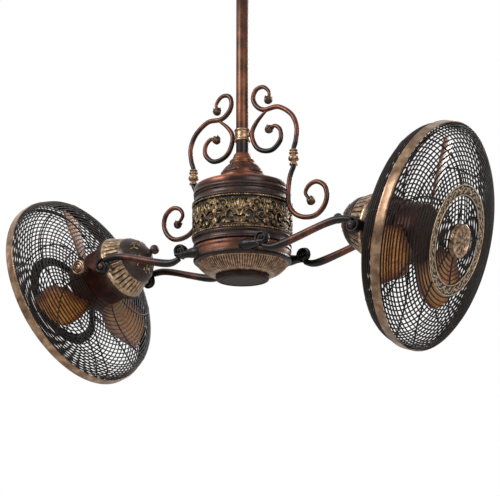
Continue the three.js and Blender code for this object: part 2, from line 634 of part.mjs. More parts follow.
function motorBody(group, side) {
  let collar = solid(lathe([
    [BODY_R + SEAT, CUP_FRONT + SEAT], [COLLAR_R, CUP_FRONT + SEAT], [COLLAR_R - 1, COLLAR_FRONT],
    [BODY_R + SEAT, COLLAR_FRONT],
  ], ROUND));
  const mid = CUP_FRONT + SEAT + COLLAR_H / 2;
  for (let i = 0; i < COLLAR_SLOTS; i += 1) {
    const slot = box(COLLAR_R - 3, COLLAR_R + 5, -2, 2, mid - 1.6, mid + 1.6);
    collar = collar.subtract(solid(slot.rotateZ(((i + 0.25) * 2 * Math.PI) / COLLAR_SLOTS)));
  }
  add(group, 'slotted_collar_' + side, collar, DARK);
  const back = CUP_FRONT + 1;
  const boreEnd = BODY_FRONT - 36;
  const body = solid(lathe([
    [0, back], [BODY_R, back], [BODY_R, BODY_FRONT], [ROTOR_SHAFT_R + SEAT, BODY_FRONT],
    [ROTOR_SHAFT_R + SEAT, boreEnd], [0, boreEnd],
  ], ROUND));
  const socket = disc(KNOB_SHANK_R - 2 + SEAT, BODY_R - 14, BODY_R + 9, SMALL);
  add(group, 'motor_body_' + side, body.subtract(solid(acrossY(socket, KNOB_AT))), DARK);
}

// Turns a shape revolved about Z so that it points along -Y at one place on the axis.
function acrossY(geometry, at) {
  return geometry.rotateX(Math.PI / 2).translate(0, 0, at);
}

// Stations of a grille: ring edges spaced along a smooth dome profile.
function grilleStations(points, rings, lead) {
  const curve = new THREE.SplineCurve(points.map(([r, z]) => new THREE.Vector2(r, z)));
  const span = curve.getLength();
  const out = [];
  for (let i = 0; i < rings; i += 1) {
    const width = i === 0 ? lead : RING_W;
    const end = span - RING_W;
    const from = i === 0 ? 0 : lead + ((end - lead) * i) / (rings - 1);
    const a = curve.getPointAt(Math.min(from, end + 0.0001) / span);
    const b = curve.getPointAt(Math.min(from + width, span) / span);
    out.push([a.x, a.y], [b.x, b.y]);
  }
  return out;
}

function cage(group, side) {
  add(group, 'cage_band_' + side, lathe([
    [BAND_R - BAND_T, BAND_BACK], [BAND_R, BAND_BACK], [BAND_R, BAND_FRONT],
    [BAND_R - BAND_T, BAND_FRONT],
  ], BAND_SIDES), BRONZE);
  const half = WIRE / 2;
  const rearHub = (BODY_R + SEAT) / BAY_FLAT + 0.5;
  const rear = [
    [RIM_R - half, BAND_BACK + 6], [RIM_R - 2, BAND_BACK - 10], [RIM_R - 8, BAND_BACK - 22],
    [RIM_R - 24, BAND_BACK - 33], [RIM_R - 46, BAND_BACK - 42], [RIM_R - 75, BAND_BACK - 49],
    [RIM_R - 110, BAND_BACK - REAR_DEPTH], [rearHub + 9, BODY_FRONT + 0.5],
    [rearHub, BODY_FRONT - 2.5],
  ];
  const rearSheet = grilleStations(rear, REAR_RINGS, 8);
  const rearWires = lattice(rearSheet, WIRE, SPOKES, SPOKE_W, rad(SPOKE_TWIST), BAY_SIDES);
  add(group, 'rear_grille_' + side, rearWires, DARK);
  const top = MEDAL_Z - SEAT - half;
  const front = [
    [RIM_R - half, BAND_FRONT - 6], [RIM_R - 4.5, BAND_FRONT + 3], [RIM_R - 15, BAND_FRONT + 10],
    [RIM_R - 30, BAND_FRONT + 18], [RIM_R - 60, BAND_FRONT + 27.5], [MEDAL_R + 3, top - 0.5],
    [MEDAL_R - MEDAL_W / 2, top], [MEDAL_R - MEDAL_W - 3, top - 0.1], [BADGE_R + 20, top + 0.4],
    [BADGE_R - 6, top + 0.6],
  ];
  const frontSheet = grilleStations(front, FRONT_RINGS, 8).reverse();
  const frontWires = lattice(frontSheet, WIRE, SPOKES, SPOKE_W, rad(-SPOKE_TWIST), BAY_SIDES);
  add(group, 'front_grille_' + side, frontWires, DARK);
  add(group, 'medallion_' + side, lathe([
    [MEDAL_R - MEDAL_W, MEDAL_Z], [MEDAL_R, MEDAL_Z], [MEDAL_R, MEDAL_Z + MEDAL_T],
    [MEDAL_R - MEDAL_W, MEDAL_Z + MEDAL_T],
  ], WIDE), BRONZE);
  const seat = top + 0.6 + half + SEAT;
  add(group, 'badge_' + side, lathe([
    [0, seat], [BADGE_R, seat], [BADGE_R, seat + BADGE_H - 2], [BADGE_R - 3, seat + BADGE_H],
    [0, seat + BADGE_H],
  ], SLIM), BRONZE);
}

function lockKnob(group, side) {
  const face = KNOB_REACH;
  const under = face - KNOB_FACE_H;
  const knob = lathe([
    [0, BODY_R - 12], [KNOB_SHANK_R - 2, BODY_R - 12], [KNOB_SHANK_R - 2, BODY_R + SEAT],
    [KNOB_SHANK_R, BODY_R + SEAT], [KNOB_SHANK_R, under], [KNOB_R, under], [KNOB_R, face - 2],
    [KNOB_R - 2, face], [0, face],
  ], SMALL);
  add(group, 'lock_knob_' + side, acrossY(knob, KNOB_AT), BRONZE);
}

// One blade lying along +X of the rotor, pitched about its own length.
function blade() {
  const along = 5;
  const across = 3;
  const root = (HUB_R + SEAT) / Math.cos(rad(12)); // clear between the root's corners too
  const halfAt = (s) => {
    const swell = 0.62 + 0.9 * s - 0.52 * s * s;
    return BLADE_HALF * swell * Math.sqrt(1 - Math.max(0, s - 0.55) ** 2 * 4.6);
  };
  const point = (i, j, face) => {
    const s = i / along;
    const c = (2 * j) / across - 1;
    const pitch = rad(BLADE_PITCH - BLADE_TWIST * s);
    const chord = c * halfAt(s);
    const lift = 5 * (1 - c * c) - 3.3 + (face * BLADE_T) / 2;
    const y = chord * Math.cos(pitch) - lift * Math.sin(pitch);
    const hubEdge = Math.sqrt(Math.max(root ** 2 - y ** 2, 100));
    return [hubEdge + (BLADE_TIP_R - hubEdge) * s, y, chord * Math.sin(pitch) + lift * Math.cos(pitch)];
  };
  const out = [];
  const quad = (a, b, c, d) => out.push(...a, ...b, ...c, ...a, ...c, ...d);
  for (let i = 0; i < along; i += 1) {
    for (let j = 0; j < across; j += 1) {
      quad(point(i, j, 1), point(i + 1, j, 1), point(i + 1, j + 1, 1), point(i, j + 1, 1));
      quad(point(i, j, -1), point(i, j + 1, -1), point(i + 1, j + 1, -1), point(i + 1, j, -1));
    }
    quad(point(i, 0, -1), point(i + 1, 0, -1), point(i + 1, 0, 1), point(i, 0, 1));
    quad(point(i, across, -1), point(i, across, 1), point(i + 1, across, 1), point(i + 1, across, -1));
  }
  for (let j = 0; j < across; j += 1) {
    quad(point(0, j, -1), point(0, j, 1), point(0, j + 1, 1), point(0, j + 1, -1));
    quad(point(along, j, -1), point(along, j + 1, -1), point(along, j + 1, 1), point(along, j, 1));
  }
  const g = new THREE.BufferGeometry();
  g.setAttribute('position', new THREE.BufferAttribute(new Float32Array(out), 3));
  return g;
}

function rotor(group, side) {
  const back = BODY_FRONT + 2.5;
  const front = back + HUB_H;
  const turned = new THREE.Group();
  turned.rotation.z = rad(ROTOR_REST);
  add(turned, 'rotor_hub_' + side, lathe([
    [0, BODY_FRONT - 34], [ROTOR_SHAFT_R, BODY_FRONT - 34], [ROTOR_SHAFT_R, front - 8],
    [HUB_R - SHELL, front - 8], [HUB_R - SHELL, back], [HUB_R, back],
    [HUB_R, front - 5], [HUB_R - 5, front], [0, front],
  ], HUB_SIDES), DARK);
  for (let i = 0; i < BLADES; i += 1) {
    const mesh = add(turned, 'blade_' + side + '_' + (i + 1), blade(), WOOD);
    mesh.position.z = BLADE_AT;
    mesh.rotation.z = (i * 2 * Math.PI) / BLADES;
  }
  group.add(turned);
}

// A head, placed by its pivot, its tilt and its side of the rod.
function head(group, side) {
  const turn = new THREE.Group();
  turn.rotation.z = side === 'right' ? 0 : Math.PI;
  const pivot = new THREE.Group();
  pivot.position.set(PIVOT_X, 0, PIVOT_Z);
  pivot.rotation.y = rad(90 + TILT);
  const axis = new THREE.Group();
  axis.position.x = -AXIS_UP;
  axis.rotation.z = Math.PI;
  pivot.add(axis);
  turn.add(pivot);
  group.add(turn);
  pivotHousing(axis, side);
  motorBody(axis, side);
  cage(axis, side);
  lockKnob(axis, side);
  rotor(axis, side);
}

// ---------------------------------------------------------------- assembly
const stack = new THREE.Group();
stack.position.z = -CEILING;
hangerBracket(stack);
canopy(stack);
downrod(stack);
bellCap(stack);
housing(stack);
scrolls(stack);
carousel(stack);
arms(stack);
head(stack, 'right');
head(stack, 'left');
fan.add(stack);

export default fan;
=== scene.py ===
# Ceiling fan with two caged heads on a turning ring: the looks, in metres, in the CAD model's frame.
import math

import bpy
from mathutils import Matrix, Vector


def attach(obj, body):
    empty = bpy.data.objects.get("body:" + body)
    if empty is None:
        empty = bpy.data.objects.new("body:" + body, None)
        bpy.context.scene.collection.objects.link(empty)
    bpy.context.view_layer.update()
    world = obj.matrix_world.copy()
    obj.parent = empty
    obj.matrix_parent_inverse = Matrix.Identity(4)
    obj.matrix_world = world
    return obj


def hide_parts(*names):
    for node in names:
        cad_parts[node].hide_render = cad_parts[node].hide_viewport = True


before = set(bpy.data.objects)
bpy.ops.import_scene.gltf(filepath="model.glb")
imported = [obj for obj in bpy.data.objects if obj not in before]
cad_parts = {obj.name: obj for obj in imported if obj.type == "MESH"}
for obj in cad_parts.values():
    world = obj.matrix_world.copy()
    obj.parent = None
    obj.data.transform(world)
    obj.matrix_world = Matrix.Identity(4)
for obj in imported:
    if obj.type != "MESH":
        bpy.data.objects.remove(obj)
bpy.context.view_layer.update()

# ------------------------------------------------------------------ camera and studio
# The camera stands low and to the right of the fan, as the photographer's did. The room is white,
# with a pale floor far below. Of three soft lamps the strongest hangs before the fan, above its left.
PICTURE_PX = 500
FOCAL_PX = 1317.07
SENSOR_MM = 36
CAMERA_AT = Vector((1.4230, -2.1873, -1.3138))
CAMERA_RIGHT = Vector((0.84119, 0.54074, -0.00174))
CAMERA_UP = Vector((0.13692, -0.20990, 0.96809))
LIT_POINT = Vector((0, 0, -0.55))  # the fan's middle, which the lamps face
FLOOR_HEIGHT = -2.3
FLOOR_SIZE = 14
AMBIENT = 0.62  # strength of the room's light on rough surfaces


def srgb(code):
    """A written sRGB colour, such as #2b1f1b, as the linear values that the shaders take."""
    values = [int(code[i:i + 2], 16) / 255 for i in (1, 3, 5)]
    return [v / 12.92 if v <= 0.04045 else ((v + 0.055) / 1.055) ** 2.4 for v in values] + [1.0]


def add_node(tree, kind, inputs=None, **settings):
    """One shader node with its settings, and a value or a link for each named input."""
    node = tree.nodes.new(kind)
    for key, value in settings.items():
        setattr(node, key, value)
    for key, value in (inputs or {}).items():
        if isinstance(value, bpy.types.NodeSocket):
            tree.links.new(value, node.inputs[key])
        else:
            node.inputs[key].default_value = value
    return node


def deselect():
    """Nothing stays selected, because an operator acts on all that is."""
    bpy.ops.object.select_all(action="DESELECT")


def softbox(name, place, size, power):
    """A square studio lamp that faces the fan's middle."""
    deselect()
    bpy.ops.object.light_add(type="AREA", location=place)
    lamp = bpy.context.object
    lamp.name = name
    lamp.data.shape = "SQUARE"
    lamp.data.size = size
    lamp.data.energy = power
    aim = LIT_POINT - Vector(place)
    lamp.rotation_euler = aim.to_track_quat("-Z", "Y").to_euler()


scene = bpy.context.scene
scene.view_settings.view_transform = "Standard"

deselect()
bpy.ops.object.camera_add()
camera = bpy.context.object
turn = Matrix((CAMERA_RIGHT, CAMERA_UP, CAMERA_RIGHT.cross(CAMERA_UP))).transposed()
camera.matrix_world = Matrix.Translation(CAMERA_AT) @ turn.to_4x4()
camera.data.sensor_width = SENSOR_MM
camera.data.lens = SENSOR_MM * FOCAL_PX / PICTURE_PX
camera.data.clip_end = 50
scene.camera = camera

softbox("key_lamp", (-1.1, -2.2, 0.7), 1.1, 62)
softbox("fill_lamp", (2.3, -1.3, -0.1), 1.4, 34)
softbox("rim_lamp", (0.3, 2.4, 0.5), 1.2, 40)

room = bpy.data.worlds.new("white_room")
scene.world = room
room.use_nodes = True
sky = room.node_tree
sky.nodes.clear()
rays = add_node(sky, "ShaderNodeLightPath")
seen = add_node(sky, "ShaderNodeMath", {0: rays.outputs["Is Camera Ray"],
                                        1: rays.outputs["Is Transmission Ray"]}, operation="MAXIMUM")
around = add_node(sky, "ShaderNodeTexCoord")
height = add_node(sky, "ShaderNodeSeparateXYZ", {"Vector": around.outputs["Generated"]})
# metal mirrors a room that is darker towards the floor; the camera sees plain white
fade = add_node(sky, "ShaderNodeMapRange", {"Value": height.outputs["Z"], "From Min": -0.5, "From Max": 0.6,
                                            "To Min": 0.25, "To Max": 1.0})
ambient = add_node(sky, "ShaderNodeMix", {"Factor": rays.outputs["Is Glossy Ray"], "A": AMBIENT,
                                          "B": fade.outputs["Result"]}, data_type="FLOAT")
level = add_node(sky, "ShaderNodeMix", {"Factor": seen.outputs[0], "A": ambient.outputs[0], "B": 1.0},
                 data_type="FLOAT")
paint = add_node(sky, "ShaderNodeBackground", {"Color": srgb("#ffffff"), "Strength": level.outputs[0]})
add_node(sky, "ShaderNodeOutputWorld", {"Surface": paint.outputs[0]})

deselect()
bpy.ops.mesh.primitive_plane_add(size=FLOOR_SIZE, location=(0, 0, FLOOR_HEIGHT))
floor = bpy.context.object
floor.name = "studio_floor"
# a matt pale floor, hardly mottled
floor_paint = bpy.data.materials.new("matt floor paint")
floor_paint.use_nodes = True
floor_tree = floor_paint.node_tree
floor_shader = floor_tree.nodes["Principled BSDF"]
floor_shader.inputs["Roughness"].default_value = 0.9
floor_noise = add_node(floor_tree, "ShaderNodeTexNoise", {"Scale": 3.0})
floor_ramp = add_node(floor_tree, "ShaderNodeValToRGB", {"Fac": floor_noise.outputs["Fac"]})
floor_ramp.color_ramp.elements[0].color = srgb("#e9e8e6")
floor_ramp.color_ramp.elements[1].color = srgb("#f0efed")
floor_tree.links.new(floor_ramp.outputs["Color"], floor_shader.inputs["Base Color"])
floor.data.materials.append(floor_paint)


# ------------------------------------------------------------------ downrod
# Three-quarter inch steel pipe, lacquered in rubbed copper brown. Under the scroll collar, down to the
# bell, painted shade leaves the pipe nearly black.
MM = 0.001
GAP_HEIGHT = -0.640  # the running gap under the ceiling plate; heights in millimetres count from it
ROD_R = 13.35
ROD_BORE = 10.45
ROD_ENDS = (160, 617)
WELD = 0.02  # points closer than this are one
CREASE = 38  # degrees above which an edge stays sharp in the shading
TONES = (0.34, 0.6, 0.86)  # where a lacquer's three colours lie
PEEL_SCALE = 620.0  # orange peel about 1.6 mm wide, coarser than real so that it shows

to_fan = Matrix.Translation((0, 0, GAP_HEIGHT))


def turned(name, profile, steps, closed=False):
    """A piece turned about Z from (radius, height) points in millimetres above the running gap."""
    deselect()
    bpy.ops.mesh.primitive_plane_add(size=MM)
    piece = bpy.context.object
    piece.name = name
    bpy.ops.object.mode_set(mode="EDIT")
    bpy.ops.mesh.select_mode(type="VERT")
    bpy.ops.mesh.merge(type="CENTER")  # one point is left, and the profile is drawn with it
    at = (0, 0)
    line = [*profile, profile[0]] if closed else profile
    for i, (radius, z) in enumerate(line):
        step = ((radius - at[0]) * MM, 0, (z - at[1]) * MM)
        if i == 0:
            bpy.ops.transform.translate(value=step)
        else:
            bpy.ops.mesh.extrude_region_move(TRANSFORM_OT_translate={"value": step})
        at = (radius, z)
    bpy.ops.mesh.select_all(action="SELECT")
    bpy.ops.mesh.spin(steps=steps, angle=2 * math.pi, center=(0, 0, 0), axis=(0, 0, 1))
    bpy.ops.mesh.select_all(action="SELECT")
    bpy.ops.mesh.remove_doubles(threshold=WELD * MM)
    bpy.ops.mesh.normals_make_consistent(inside=False)
    bpy.ops.object.mode_set(mode="OBJECT")
    return piece


def pick(piece):
    """Selects a piece alone and makes it the active one."""
    deselect()
    piece.select_set(True)
    bpy.context.view_layer.objects.active = piece


def soften(piece, width=0, segments=2, angle=28):
    """Rounds the sharp edges of a piece by a width in millimetres and smooths its shading."""
    pick(piece)
    if width:
        bevel = piece.modifiers.new("rounded", "BEVEL")
        bevel.width = width * MM
        bevel.segments = segments
        bevel.limit_method = "ANGLE"
        bevel.angle_limit = math.radians(angle)
        bevel.use_clamp_overlap = True
        bpy.ops.object.modifier_apply(modifier=bevel.name)
    bpy.ops.object.shade_smooth_by_angle(angle=math.radians(CREASE))


def settle(piece, place):
    """Moves a piece's mesh to its place, so that its object stays at the origin."""
    piece.data.transform(place)
    piece.data.update()


def finish_piece(piece, body, slot, material, *nodes):
    """Gives a piece its material, the body that it moves with and the nodes it stands for; slot is not used.
    """
    piece.data.materials.clear()
    piece.data.materials.append(material)
    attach(piece, body)
    if nodes:
        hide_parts(*nodes)


def hang(piece, body, slot, material, *nodes, edge=0):
    """Rounds a piece's edges, sets it at its height under the ceiling and finishes it."""
    soften(piece, edge)
    settle(piece, to_fan)
    finish_piece(piece, body, slot, material, *nodes)


def rubbed_lacquer(name, hollow, body, rubbed, metallic, roughness, patch, shade=None, carved=0):
    """Tinted lacquer over metal, wiped by hand: cloudy patches of a size in millimetres, with fine
    orange peel. shade, where given, makes the factor of painted shade that darkens the colour, and
    carved says how strongly painted shade darkens the hollows that carve() left."""
    material = bpy.data.materials.new(name)
    material.use_nodes = True
    tree = material.node_tree
    shader = tree.nodes["Principled BSDF"]
    place = add_node(tree, "ShaderNodeTexCoord").outputs["Object"]
    cloud = add_node(tree, "ShaderNodeTexNoise", {"Vector": place, "Scale": 1 / (patch * MM), "Detail": 5.0,
                                                  "Roughness": 0.62})
    fleck = add_node(tree, "ShaderNodeTexNoise", {"Vector": place, "Scale": PEEL_SCALE, "Detail": 2.0})
    tone = add_node(tree, "ShaderNodeMath", {0: fleck.outputs["Fac"], 1: 0.28, 2: cloud.outputs["Fac"]},
                    operation="MULTIPLY_ADD")
    if shade:
        tone = add_node(tree, "ShaderNodeMath", {0: tone.outputs[0], 1: shade(tree, place)},
                        operation="SUBTRACT")
    if carved:
        # painted shade: the lacquer turns darker by the depth of carve()'s hollows
        hollow_shading = add_node(tree, "ShaderNodeAttribute", attribute_name="hollow")
        tone = add_node(tree, "ShaderNodeMath", {0: hollow_shading.outputs["Fac"], 1: -carved, 2: tone.outputs[0]},
                        operation="MULTIPLY_ADD")
    ramp = add_node(tree, "ShaderNodeValToRGB", {"Fac": tone.outputs[0]})
    ramp.color_ramp.elements[0].position = TONES[0]
    ramp.color_ramp.elements[0].color = srgb(hollow)
    ramp.color_ramp.elements[1].position = TONES[2]
    ramp.color_ramp.elements[1].color = srgb(rubbed)
    ramp.color_ramp.elements.new(TONES[1]).color = srgb(body)
    gloss = add_node(tree, "ShaderNodeMapRange", {"Value": cloud.outputs["Fac"], "To Min": roughness - 0.08,
                                                  "To Max": roughness + 0.1})
    peel = add_node(tree, "ShaderNodeBump", {"Height": fleck.outputs["Fac"], "Strength": 0.12,
                                             "Distance": 0.2 * MM})
    shader.inputs["Metallic"].default_value = metallic
    tree.links.new(ramp.outputs["Color"], shader.inputs["Base Color"])
    tree.links.new(gloss.outputs["Result"], shader.inputs["Roughness"])
    tree.links.new(peel.outputs["Normal"], shader.inputs["Normal"])
    return material


def height_shade(dark_at, clear_at, amount):
    """A painted shade that is full at one height above the running gap and fades to nothing at another."""
    def shade(tree, place):
        parts = add_node(tree, "ShaderNodeSeparateXYZ", {"Vector": place})
        return add_node(tree, "ShaderNodeMapRange", {
            "Value": parts.outputs["Z"], "From Min": dark_at * MM + GAP_HEIGHT,
            "From Max": clear_at * MM + GAP_HEIGHT, "To Min": amount, "To Max": 0.0},
            interpolation_type="SMOOTHSTEP").outputs["Result"]
    return shade


# brown-red lacquer, rubbed through to copper in cloudy patches, with painted shade in carved hollows
copper = rubbed_lacquer("rubbed copper lacquer on steel", "#1d0f0b", "#4d2817", "#875134", 0.62, 0.34, 34,
                        carved=0.8)
# the pipe's lacquer, with painted shade under the scroll collar, down to the bell
rod_copper = rubbed_lacquer("rubbed copper lacquer on pipe", "#1b0f0b", "#422312", "#6e4127", 0.6, 0.35, 40,
                            height_shade(215, 235, 0.42))
rod = turned("downrod_pipe", [(ROD_BORE, ROD_ENDS[0]), (ROD_R, ROD_ENDS[0]), (ROD_R, ROD_ENDS[1]),
                              (ROD_BORE, ROD_ENDS[1])], 64, closed=True)
hang(rod, "mount_stem", "copper_paint", rod_copper, "downrod", edge=0.4)


# ------------------------------------------------------------------ ceiling fittings
# A zinc-plated hanger bracket holds a ball of dark lacquered iron, and a spun steel canopy covers
# both. Two plated screws hold the canopy to the bracket. The photograph ends below all of them.
BALL_R = 30
BALL_HEIGHT = 604
BALL_FLAT = 20
BALL_BORE = ROD_R + 0.3
CANOPY_SHEET = 2
CANOPY_WALL = [(22.85, 566), (26.85, 572), (40, 579.5), (55.9, 588), (65.5, 612), (69, 621), (69, 639)]


def flowing(points, steps):
    """A smooth run of points through the given ones, with steps between each pair."""
    ends = [points[0], *points, points[-1]]
    out = []
    for i in range(1, len(ends) - 2):
        a, b, c, d = (Vector(p) for p in ends[i - 1:i + 3])
        for k in range(steps):
            t = k / steps
            out.append(0.5 * (2 * b + (c - a) * t + (2 * a - 5 * b + 4 * c - d) * t ** 2
                              + (3 * b - a - 3 * c + d) * t ** 3))
    return [tuple(p) for p in out] + [tuple(points[-1])]


def bare_metal(name, colour, roughness, grain):
    """Plated or cast metal: a soft mottle a few millimetres wide over a plain grey metal."""
    material = bpy.data.materials.new(name)
    material.use_nodes = True
    tree = material.node_tree
    shader = tree.nodes["Principled BSDF"]
    place = add_node(tree, "ShaderNodeTexCoord").outputs["Object"]
    spangle = add_node(tree, "ShaderNodeTexVoronoi", {"Vector": place, "Scale": 1 / (grain * MM)})
    rough = add_node(tree, "ShaderNodeMapRange", {"Value": spangle.outputs["Distance"],
                                                  "To Min": roughness, "To Max": roughness + 0.18})
    tint = add_node(tree, "ShaderNodeValToRGB", {"Fac": spangle.outputs["Distance"]})
    tint.color_ramp.elements[0].color = srgb(colour)
    tint.color_ramp.elements[1].color = srgb("#6f7072")
    shader.inputs["Metallic"].default_value = 0.9
    tree.links.new(tint.outputs["Color"], shader.inputs["Base Color"])
    tree.links.new(rough.outputs["Result"], shader.inputs["Roughness"])
    return material


# pale grey plating with a faint spangle, and a duller casting
zinc = bare_metal("zinc-plated steel", "#b9bbbd", 0.3, 3.5)
aluminium = bare_metal("cast aluminium motor case", "#a6a6a4", 0.42, 1.2)
# near-black lacquer on iron: a warm sheen, brown where it is rubbed
dark_lacquer = rubbed_lacquer("near-black bronze lacquer", "#120d0b", "#2a1e1a", "#4a3026", 0.55, 0.36, 22)
for name, metal in (("hanger_bracket", zinc), ("canopy_screw_right", zinc), ("canopy_screw_left", zinc),
                    ("rod_coupler", zinc), ("drive_motor", aluminium), ("carousel_hub", aluminium)):
    node = bpy.data.objects[name]
    node.data.materials.clear()
    node.data.materials.append(metal)

arc = [(math.sqrt(BALL_R ** 2 - z ** 2), BALL_HEIGHT + z) for z in range(-BALL_FLAT, BALL_FLAT + 1, 2)]
ball = turned("hanging_ball", [(BALL_BORE, BALL_HEIGHT - BALL_FLAT), *arc,
                               (BALL_BORE, BALL_HEIGHT + BALL_FLAT)], 64, closed=True)
hang(ball, "mount_stem", "dark_casting", dark_lacquer, "hanger_ball")

wall = flowing(CANOPY_WALL, 4)
inside = [(r - CANOPY_SHEET, z) for r, z in reversed(wall[:-1])]
cover = turned("spun_canopy", [(14.85, 566), *wall, (67, 639), *inside, (16, 568)], 128, closed=True)
hang(cover, "mount_stem", "copper_paint", copper, "canopy", edge=0.5)


# ------------------------------------------------------------------ bell cap
# A cast copper-finished bell over the rod's coupler. Leaves lie round its skirt between two beads,
# and it is carried by the lid.
BELL = [(53, 144), (53.4, 147), (52.6, 150), (49, 152), (44.5, 153.5), (44.2, 156), (45, 160), (41.5, 165),
        (37.5, 170), (34, 174.5), (30, 178), (26.5, 180.5), (26.2, 183), (27, 186), (25.5, 188.5),
        (21.5, 190.5), (20.5, 194), (18.6, 198.5), (17.6, 201), (16.4, 203)]
BELL_INSIDE = [(14.4, 203), (14.4, 192), (21.8, 183), (38, 154.5), (50, 147), (50, 144)]
BELL_LEAVES = 10
LEAF_BELT = (158, 181)
LEAF_INNER = 24  # the bell's inside lies within this radius there
LEAF_RELIEF = 2.0


def carve(piece, relief, depth, upward=False):
    """Moves each vertex of a turned piece out, or up, by relief(angle, radius, height) in millimetres.
    The attribute "hollow" keeps how far down it lies, 1 at the depth, where the lacquer paints shade."""
    hollow = piece.data.attributes.new("hollow", "FLOAT", "POINT")
    for vertex in piece.data.vertices:
        x, y, z = vertex.co
        radius = math.hypot(x, y)
        rise = relief(math.atan2(y, x), radius / MM, z / MM)
        if upward:
            vertex.co.z += rise * MM
        elif radius > 1e-6:
            grown = 1 + rise * MM / radius
            vertex.co = (x * grown, y * grown, z)
        hollow.data[vertex.index].value = min(1, max(0, -rise / depth))
    piece.data.update()


def bell_leaves(angle, radius, height):
    """Lobed leaves that lean a little, each with veins, and that fade out above and below."""
    low, high = LEAF_BELT
    if not low < height < high or radius < LEAF_INNER:
        return 0
    fade = math.sin(math.pi * (height - low) / (high - low)) ** 0.6
    lobe = abs(math.cos(BELL_LEAVES / 2 * angle + 0.25 * math.sin(0.9 * height)))
    vein = 0.35 * math.cos(BELL_LEAVES * 3 * angle + 0.8 * height)
    return LEAF_RELIEF * fade * (lobe ** 0.5 - 0.72 + vein)


bell = turned("leafed_bell_cap", [*flowing(BELL, 4), *BELL_INSIDE], 240, closed=True)
carve(bell, bell_leaves, 1.2)
hang(bell, "mount_stem", "copper_paint", copper, "bell_cap")


# ------------------------------------------------------------------ housing lid and mouldings
# The spun steel lid is copper, with painted shade along its lip. Under it comes a dark stepped
# moulding, the drum with the gilt band round it, and a second dark moulding that closes the housing
# above the turning ring.
LID = [(99.6, 117.8), (100, 121), (99.8, 125.5), (98.2, 129.3), (95, 131.6), (90, 133.4), (82, 135.8),
       (70, 139.2), (60, 142), (54, 143.7)]
UPPER = [(101.2, 89.4), (103.2, 89.6), (104, 90.8), (103.8, 92.4), (102.4, 93.6), (100.4, 94.2), (99.8, 95.6),
         (98.6, 97.6), (98, 100.2), (98, 103.6), (98.5, 105), (100.2, 105.8), (100.4, 107.2), (98.9, 108.2),
         (98.7, 109.6), (100.4, 111), (101.2, 112.8), (100.8, 115), (100, 117.2)]
LOWER = [(98.8, 0.9), (100.8, 1.6), (101, 3.2), (100.2, 5), (99.2, 6.4), (98.8, 8.6), (99, 12), (99.6, 13.4),
         (101.4, 14.4), (102.9, 16.2), (103, 18), (102.2, 19.6)]
DRUM_R = 98.6

# the rod's finish, glossier and redder, with painted shade along the lip
lid_copper = rubbed_lacquer("rubbed copper lacquer on spun steel", "#27140f", "#663620", "#9e6346", 0.6, 0.28,
                            45, height_shade(123, 130, 0.3))
lid = turned("spun_lid", [*flowing(LID, 4), (19.1, 143.7), (19.1, 140.7), (55, 140.7), (93, 127.7),
                          (97, 117.8)], 160, closed=True)
hang(lid, "mount_stem", "copper_paint", lid_copper, "housing_lid")

upper = turned("stepped_upper_moulding", [*flowing(UPPER, 3), (93, 117.2), (93, 89.4)], 160, closed=True)
hang(upper, "mount_stem", "dark_casting", dark_lacquer, "upper_moulding")

lower = turned("stepped_lower_moulding", [*flowing(LOWER, 3), (96, 19.6), (94, 4.8), (8.8, 4.8), (8.8, 0.9)],
               160, closed=True)
hang(lower, "mount_stem", "dark_casting", dark_lacquer, "lower_moulding")

# flat black, painted shadow behind the pierced band, so that it reads as open work
shadow_black = rubbed_lacquer("matt black paint", "#070605", "#0d0b0a", "#171210", 0.1, 0.62, 20)
drum = turned("housing_shell", [(95.5, 20.1), (DRUM_R, 20.1), (DRUM_R, 89.1), (95.5, 89.1)], 160, closed=True)
hang(drum, "mount_stem", "dark_paint", shadow_black, "housing_drum")


# ------------------------------------------------------------------ gilt filigree band
# A pierced cast band: six times a palmette between paired C-scrolls, with buds and leaves filling
# the ground and a bead on each edge. Its high places are rubbed gold; painted shade blackens its hollows.
BAND_BASE = 20.1
BAND_H = 69
BAND_R = 101.2
BAND_PROUD = 0.6
BAND_RIM = [(100.7, -2), (102.2, -2), (102.8, -1.4), (102.8, 1.4), (102.2, 2), (100.7, 2)]
BEADS = 120
BEAD_R = 1.8
BEAD_AT = 102.9
STEM_TIP = 0.45  # a stem's end is this much of its foot's width
RELIEF_CREASE = 50  # degrees above which an edge of a leaf or bar stays sharp in the shading
REPEATS = 6
FACING = math.radians(30)  # turns one palmette to the front
SWING = 2 * math.pi * BAND_R / REPEATS  # width of one repeat along the band


def leaf(u, h, length, width, lean, height):
    """A pointed leaf in relief whose foot lies at (u, h); lean is its angle from upright in degrees."""
    deselect()
    bpy.ops.mesh.primitive_uv_sphere_add(segments=10, ring_count=8, radius=1)
    piece = bpy.context.object
    for vertex in piece.data.vertices:
        x, y, z = vertex.co
        along = (z + 1) / 2
        belly = math.sin(math.pi * along ** 0.75) ** 0.8  # broadest a little below the middle
        crease = 1 - 0.72 * math.exp(-(x * 2.6) ** 2) if along > 0.15 else 1  # a groove for the midrib
        vertex.co = (x * width / 2 * (0.35 + 0.65 * belly), y * height * crease * (0.4 + 0.6 * belly),
                     along * length)
    tilt = Matrix.Rotation(math.radians(lean), 4, "Y")
    piece.data.transform(Matrix.Translation((u, 0, h)) @ tilt)
    return piece


def as_mesh(name, curve):
    """Makes a mesh piece of a curve."""
    piece = bpy.data.objects.new(name, curve)
    bpy.context.collection.objects.link(piece)
    pick(piece)
    bpy.ops.object.convert(target="MESH")
    return bpy.context.object


def tendril(points, width, steps=5):
    """A raised stem along (u, h) points that thins towards its end."""
    line = flowing(points, steps)
    curve = bpy.data.curves.new("stem", "CURVE")
    curve.dimensions = "3D"
    curve.bevel_depth = width / 2
    curve.bevel_resolution = 1
    curve.use_fill_caps = True
    spline = curve.splines.new("POLY")
    spline.points.add(len(line) - 1)
    for i, (u, h) in enumerate(line):
        spline.points[i].co = (u, 0, h, 1)
        spline.points[i].radius = 1 - (1 - STEM_TIP) * i / (len(line) - 1)
    return as_mesh("stem", curve)


